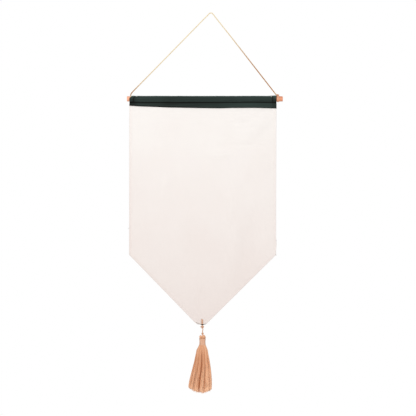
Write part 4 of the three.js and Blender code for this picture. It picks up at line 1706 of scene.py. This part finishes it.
    def skirt(self) -> Surface:
        """The outer strands, a little thinner at their cut ends.

        Returns:
            The strands as one surface.
        """
        paths, tones = self.strand_paths(self.strands, self.steps, (0.82, 1.0), 50, self.cut)
        radii = np.interp(np.linspace(0, 1, self.steps), (0, 0.5, 0.97, 1), (0.44, 0.6, 0.54, 0.3))
        thickness = np.random.default_rng(51).uniform(0.85, 1.15, (self.strands, 1))
        return Surface.tubes(paths, radii[None] * thickness, sides=5, tone=tones)

    def inner_strands(self) -> Surface:
        """Strands inside, painted darker for the shade within the skirt, and cut a little shorter."""
        paths, tones = self.strand_paths(self.inner_count, 10, (0.15, 0.84), 60, self.inner_cut)
        return Surface.tubes(paths, radii=0.58, sides=5, tone=tones + 0.2)

    def fibres(self) -> Surface:
        """Fine fibres that stand off the strands: along the skirt's sides and out of the cut ends.

        A fibre leaves its strand at a random height, bows outward by a sine and curls back a little; an end
        fibre goes on downward past the cut.

        Returns:
            The fibres as one surface.
        """
        rng = np.random.default_rng(70)
        paths, _ = self.strand_paths(self.strands, self.steps, (0.86, 1.0), 50, self.cut)
        count, t = self.fibre_count, np.linspace(0, 1, 6)
        start = paths[rng.integers(0, len(paths), count), rng.integers(5, 17, count)]
        fall = -rng.uniform(4, 11, (count, 1)) * t
        out = (start - np.array([self.middle - 3.0, 0, 0])) * (1, 1, 0)
        out /= np.linalg.norm(out, axis=1, keepdims=True)
        bow = rng.uniform(0.5, 2.2, (count, 1)) * np.sin(t * rng.uniform(1.6, 3.0, (count, 1)))
        side = start[:, None] + out[:, None] * bow[..., None]
        side[..., 2] += fall
        side[..., 0] += rng.normal(0, 0.5, (count, 1)) * t
        tip = paths[rng.integers(0, len(paths), count), -1][:, None] + np.zeros((count, 6, 3))
        tip[..., :2] += np.moveaxis(rng.normal(0, 0.7, (count, 2, 1)) * t**1.3, 1, -1)
        tip[..., 2] += 0.8 - rng.uniform(1.2, 3.4, (count, 1)) * t
        both = np.concatenate([side, tip])
        tone = rng.uniform(0, 0.15, (len(both), 1))
        return Surface.tubes(both, np.linspace(0.14, 0.07, 6), sides=4, tone=tone)

    def core(self) -> Surface:
        """The body inside the strands: the outline drawn in, so that nothing shows through.

        Returns:
            The closed body.
        """
        z = np.concatenate([np.linspace(-490, -502, 6), np.linspace(-504, -574, 22)])[:, None]
        middle, half, depth = self.extents(z)
        angle = turn_steps(48)
        share = 0.76 - 0.2 * smooth(-z, 548, 574)
        cut = 0.6 * self.groove(angle) * smooth(-z, -self.shoulder, 530)
        x = middle + (half * share - cut) * np.cos(angle)
        y = (depth * share - cut) * np.sin(angle)
        body = Surface.rings(spots(x, y, z))
        # Painted deep all over, for the shade inside the skirt.
        body.tone = np.full(len(body.points), 0.95)
        return body

    def crown(self) -> Surface:
        """Folded loops over the stem's knot.

        Each loop is an arch from front to back whose height follows two humps with a dip between, where
        the stem comes out.

        Returns:
            The loops as one surface.
        """
        rng = np.random.default_rng(40)
        t = np.linspace(0, math.pi, 22)
        half_width, half_depth = self.loop_half
        rows = []
        for layer, (reach, count) in enumerate(self.loop_layers):
            place = np.linspace(-1, 1, count) + rng.uniform(-0.03, 0.03, count)
            dip = 3.4 * bell(self.middle + half_width * place + 1.3, 1.7)
            top = self.loop_top - 1.8 * layer - 3.6 * place**4 - dip + rng.uniform(-0.25, 0.25, count)
            depth = half_depth * reach * np.sqrt(np.clip(1 - (0.9 * place) ** 2, 0.05, 1))
            z = self.loop_foot + (top - self.loop_foot)[:, None] * np.sin(t) ** 0.75
            narrowing = 0.8 + 0.2 * smooth(z, -488, -485)
            lean = 0.25 * np.sin(t * 2 + rng.uniform(0, 6, (count, 1)))
            x = self.middle + (half_width * place * reach**0.5)[:, None] * narrowing + lean
            rows.append(np.stack([x, -depth[:, None] * np.cos(t) * narrowing, z], -1))
        paths = np.concatenate(rows)
        # Painted shade on the loops' lower ends, where they go into the binding.
        low = 0.6 * (1 - smooth(paths[..., 2], -488, -483.5))
        tone = rng.uniform(0.05, 0.4, (len(paths), 1)) + low
        return Surface.tubes(paths, radii=0.62, sides=7, tone=tone)

    def binding(self) -> Surface:
        """Fine thread wound round the neck: a spiral on an oval sleeve, drawn in a little at its waist.

        Returns:
            The thread.
        """
        share = np.linspace(0, 1, self.wraps * 40)
        angle = share * self.wraps * TURN
        z = self.wrap_top - self.wrap_height * share
        _, half, depth = self.extents(z)
        grow = 1.05 - 0.2 * np.sin(math.pi * share) + 0.05 * unevenness(share[:, None], (0.02,), 44)
        path = spots(self.middle + (half + grow) * np.cos(angle), (depth + grow) * np.sin(angle), z)
        # Painted shade on the first turns, under the loops; the last turns are darker too.
        tone = 0.5 + 0.4 * bell(share, 0.12) + 0.2 * smooth(share, 0.85, 1)
        return Surface.tubes(path[None], radii=0.31, sides=6, tone=tone)

    def build(self) -> None:
        """Make the skirt, its inner strands and fibres, the loops and the binding."""
        skirt = Surface.join([self.skirt(), self.core()])
        add_piece(skirt, "tassel_skirt", Finish.YARN, "yarn", "tassel_yarn")
        add_piece(self.inner_strands(), "tassel_inner_strands", Finish.YARN, "yarn")
        add_piece(self.fibres(), "tassel_fibres", Finish.FIBRE, "yarn")
        add_piece(self.crown(), "tassel_loops", Finish.YARN, "yarn")
        add_piece(self.binding(), "tassel_neck_thread", Finish.BINDING, "binding_thread", "tassel_binding")


@dataclass
class TipThread:
    """Dark thread sewn along the blunt tip, its dark line partly the thread and partly painted shade under
    the tip's edge: it thickens where it holds the hanger and is painted darkest there.

    Attributes:
        line: points of the seam, (x, z) in mm.
        strand: x of the hanger, in mm.
        threads: how many threads lie side by side.
        gauge: radius of a thread, in mm.
    """

    line: tuple = (
        (-13.4, -455.2),
        (-10.6, -456.6),
        (-8.0, -457.9),
        (-4.3, -459.1),
        (-0.6, -459.5),
        (3.6, -459.2),
        (6.9, -458.3),
    )
    strand: float = -0.6
    threads: int = 7
    gauge: float = 0.22

    def build(self) -> None:
        """A few threads side by side, drawn together at their ends and bowed over the hanger."""
        x, z = np.array(self.line).T
        run = smooth_route(np.stack([x, np.zeros_like(x), z], -1), 0.35)
        place = np.linspace(-1, 1, self.threads)[:, None]
        t = np.linspace(0, 1, len(run))
        # Where the thread crosses the hanger it is painted darker, as shade under the tip's edge.
        over = bell(run[:, 0] - self.strand, 2.7)
        spread = 0.16 + 0.75 * over
        up = run[:, 2] + place * spread + 0.1 * np.sin(14 * t + 2 * place)
        out = -0.75 - 2.45 * over - 0.3 * (1 - place**2)
        paths = spots(run[:, 0], out, up)
        threads = Surface.tubes(paths, self.gauge, sides=6, tone=0.1 + 0.9 * over)
        add_piece(threads, "tip_thread", Finish.DARK_THREAD, "canvas")


# ---------------------------------------------------------------- studio
@dataclass
class Studio:
    """Camera, pale floor, soft lights and white surroundings.

    Attributes:
        distance: from the camera to the cloth, in metres.
        view_width: width of the view at the cloth, in metres.
        aim: what the camera looks at, (x, z) in mm.
        sensor: width of the camera's sensor, in mm.
        floor_drop: how far the floor lies under the tassel, in metres.
        white: colour of the surroundings that show.
        warm: colour of the light that they give.
        dome: strength of that light.
        lamp_drop: how far below the dowel the lamps point, in metres.
        lamps: name, place, size, power and colour of each area light, in metres and watts.
    """

    distance: float = 3.2
    view_width: float = 0.8473
    aim: tuple = (10.8, -222.25)
    sensor: float = 36.0
    floor_drop: float = 0.6
    white: tuple = (1, 1, 1, 1)
    warm: tuple = (1.0, 0.985, 0.97, 1)
    dome: float = 0.61
    lamp_drop: float = 0.2
    lamps: tuple = (
        ("key", (-0.5, -2.1, 0.35), 0.8, 37.6, (1.0, 0.985, 0.96)),
        ("fill", (1.3, -1.6, -0.5), 0.9, 7.0, (1.0, 0.97, 0.94)),
        ("back", (0.9, 2.0, 0.5), 1.0, 16.0, (1.0, 0.985, 0.96)),
    )

    def camera(self) -> None:
        """A long lens square to the cloth, whose view at the cloth is view_width wide."""
        spot = SITE.row(np.array([self.aim[0], 0.0, self.aim[1]]))
        data = bpy.data.cameras.new("camera")
        data.sensor_width = self.sensor
        data.lens = self.sensor * self.distance / self.view_width
        holder = bpy.data.objects.new("camera", data)
        bpy.context.scene.collection.objects.link(holder)
        holder.location = Vector(spot) + Vector((0, -self.distance, 0))
        holder.rotation_euler = (math.pi / 2, 0, 0)
        bpy.context.scene.camera = holder

    def floor(self) -> None:
        """A plain pale round slab of floor under the banner."""
        top = (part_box("tassel_yarn")[0][2] - self.floor_drop - SITE.axis) / MM
        angle = turn_steps(96)
        reach = np.array([200.0, 700.0, 1300.0, 1300.0])[:, None]
        z = top - np.array([0.0, 0.0, 0.0, 12.0])[:, None]
        slab = Surface.rings(spots(reach * np.cos(angle), reach * np.sin(angle), z))
        s = Shading("pale_floor", 0.9, 0.2)
        cloud = s.cloud(s.place((1, 1, 1)), 3, 2)
        floor = slab.build("floor", s.paint(s.between(cloud, (0.86, 0.855, 0.85), (0.84, 0.835, 0.83))))

    def area_light(self, name: str, spot: tuple, size: float, power: float, colour: tuple) -> None:
        """A square soft light turned to the middle of the banner.

        Args:
            name: the light's name.
            spot: its place, in metres of the row frame.
            size: side of the square, in metres.
            power: in watts.
            colour: red, green and blue.
        """
        data = bpy.data.lights.new(name, "AREA")
        data.size = size
        data.energy = power
        data.color = colour
        holder = bpy.data.objects.new(name, data)
        bpy.context.scene.collection.objects.link(holder)
        holder.location = spot
        holder.visible_camera = False
        middle = Vector((0, 0, SITE.axis - self.lamp_drop))
        holder.rotation_euler = (middle - Vector(spot)).to_track_quat("-Z", "Y").to_euler()

    def light(self) -> None:
        """White surroundings that light less than they show, a key light, a fill and a light behind."""
        scene = bpy.context.scene
        scene.view_settings.view_transform = "Standard"
        world = bpy.data.worlds.new("surroundings")
        scene.world = world
        world.use_nodes = True
        nodes, links = world.node_tree.nodes, world.node_tree.links
        shown = nodes["Background"]
        shown.inputs[0].default_value = self.white
        shown.inputs[1].default_value = 1.0
        lit = nodes.new("ShaderNodeBackground")
        lit.inputs[0].default_value = self.warm
        lit.inputs[1].default_value = self.dome
        mix = nodes.new("ShaderNodeMixShader")
        rays = nodes.new("ShaderNodeLightPath")
        links.new(rays.outputs["Is Camera Ray"], mix.inputs[0])
        links.new(lit.outputs[0], mix.inputs[1])
        links.new(shown.outputs[0], mix.inputs[2])
        links.new(mix.outputs[0], nodes["World Output"].inputs[0])
        for lamp in self.lamps:
            self.area_light(*lamp)


def keep_sizes() -> None:
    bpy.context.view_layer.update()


def main() -> None:
    """Build the banner piece by piece."""
    logging.basicConfig(level=logging.INFO, format="%(name)s %(message)s")
    studio = Studio()
    studio.camera()
    HangingCord().build()
    Dowel().build()
    Heading().build()
    PennantPanel().build()
    Hanger().build()
    Tassel().build()
    TipThread().build()
    studio.floor()
    studio.light()
    keep_sizes()


if __name__ == "__main__":
    main()
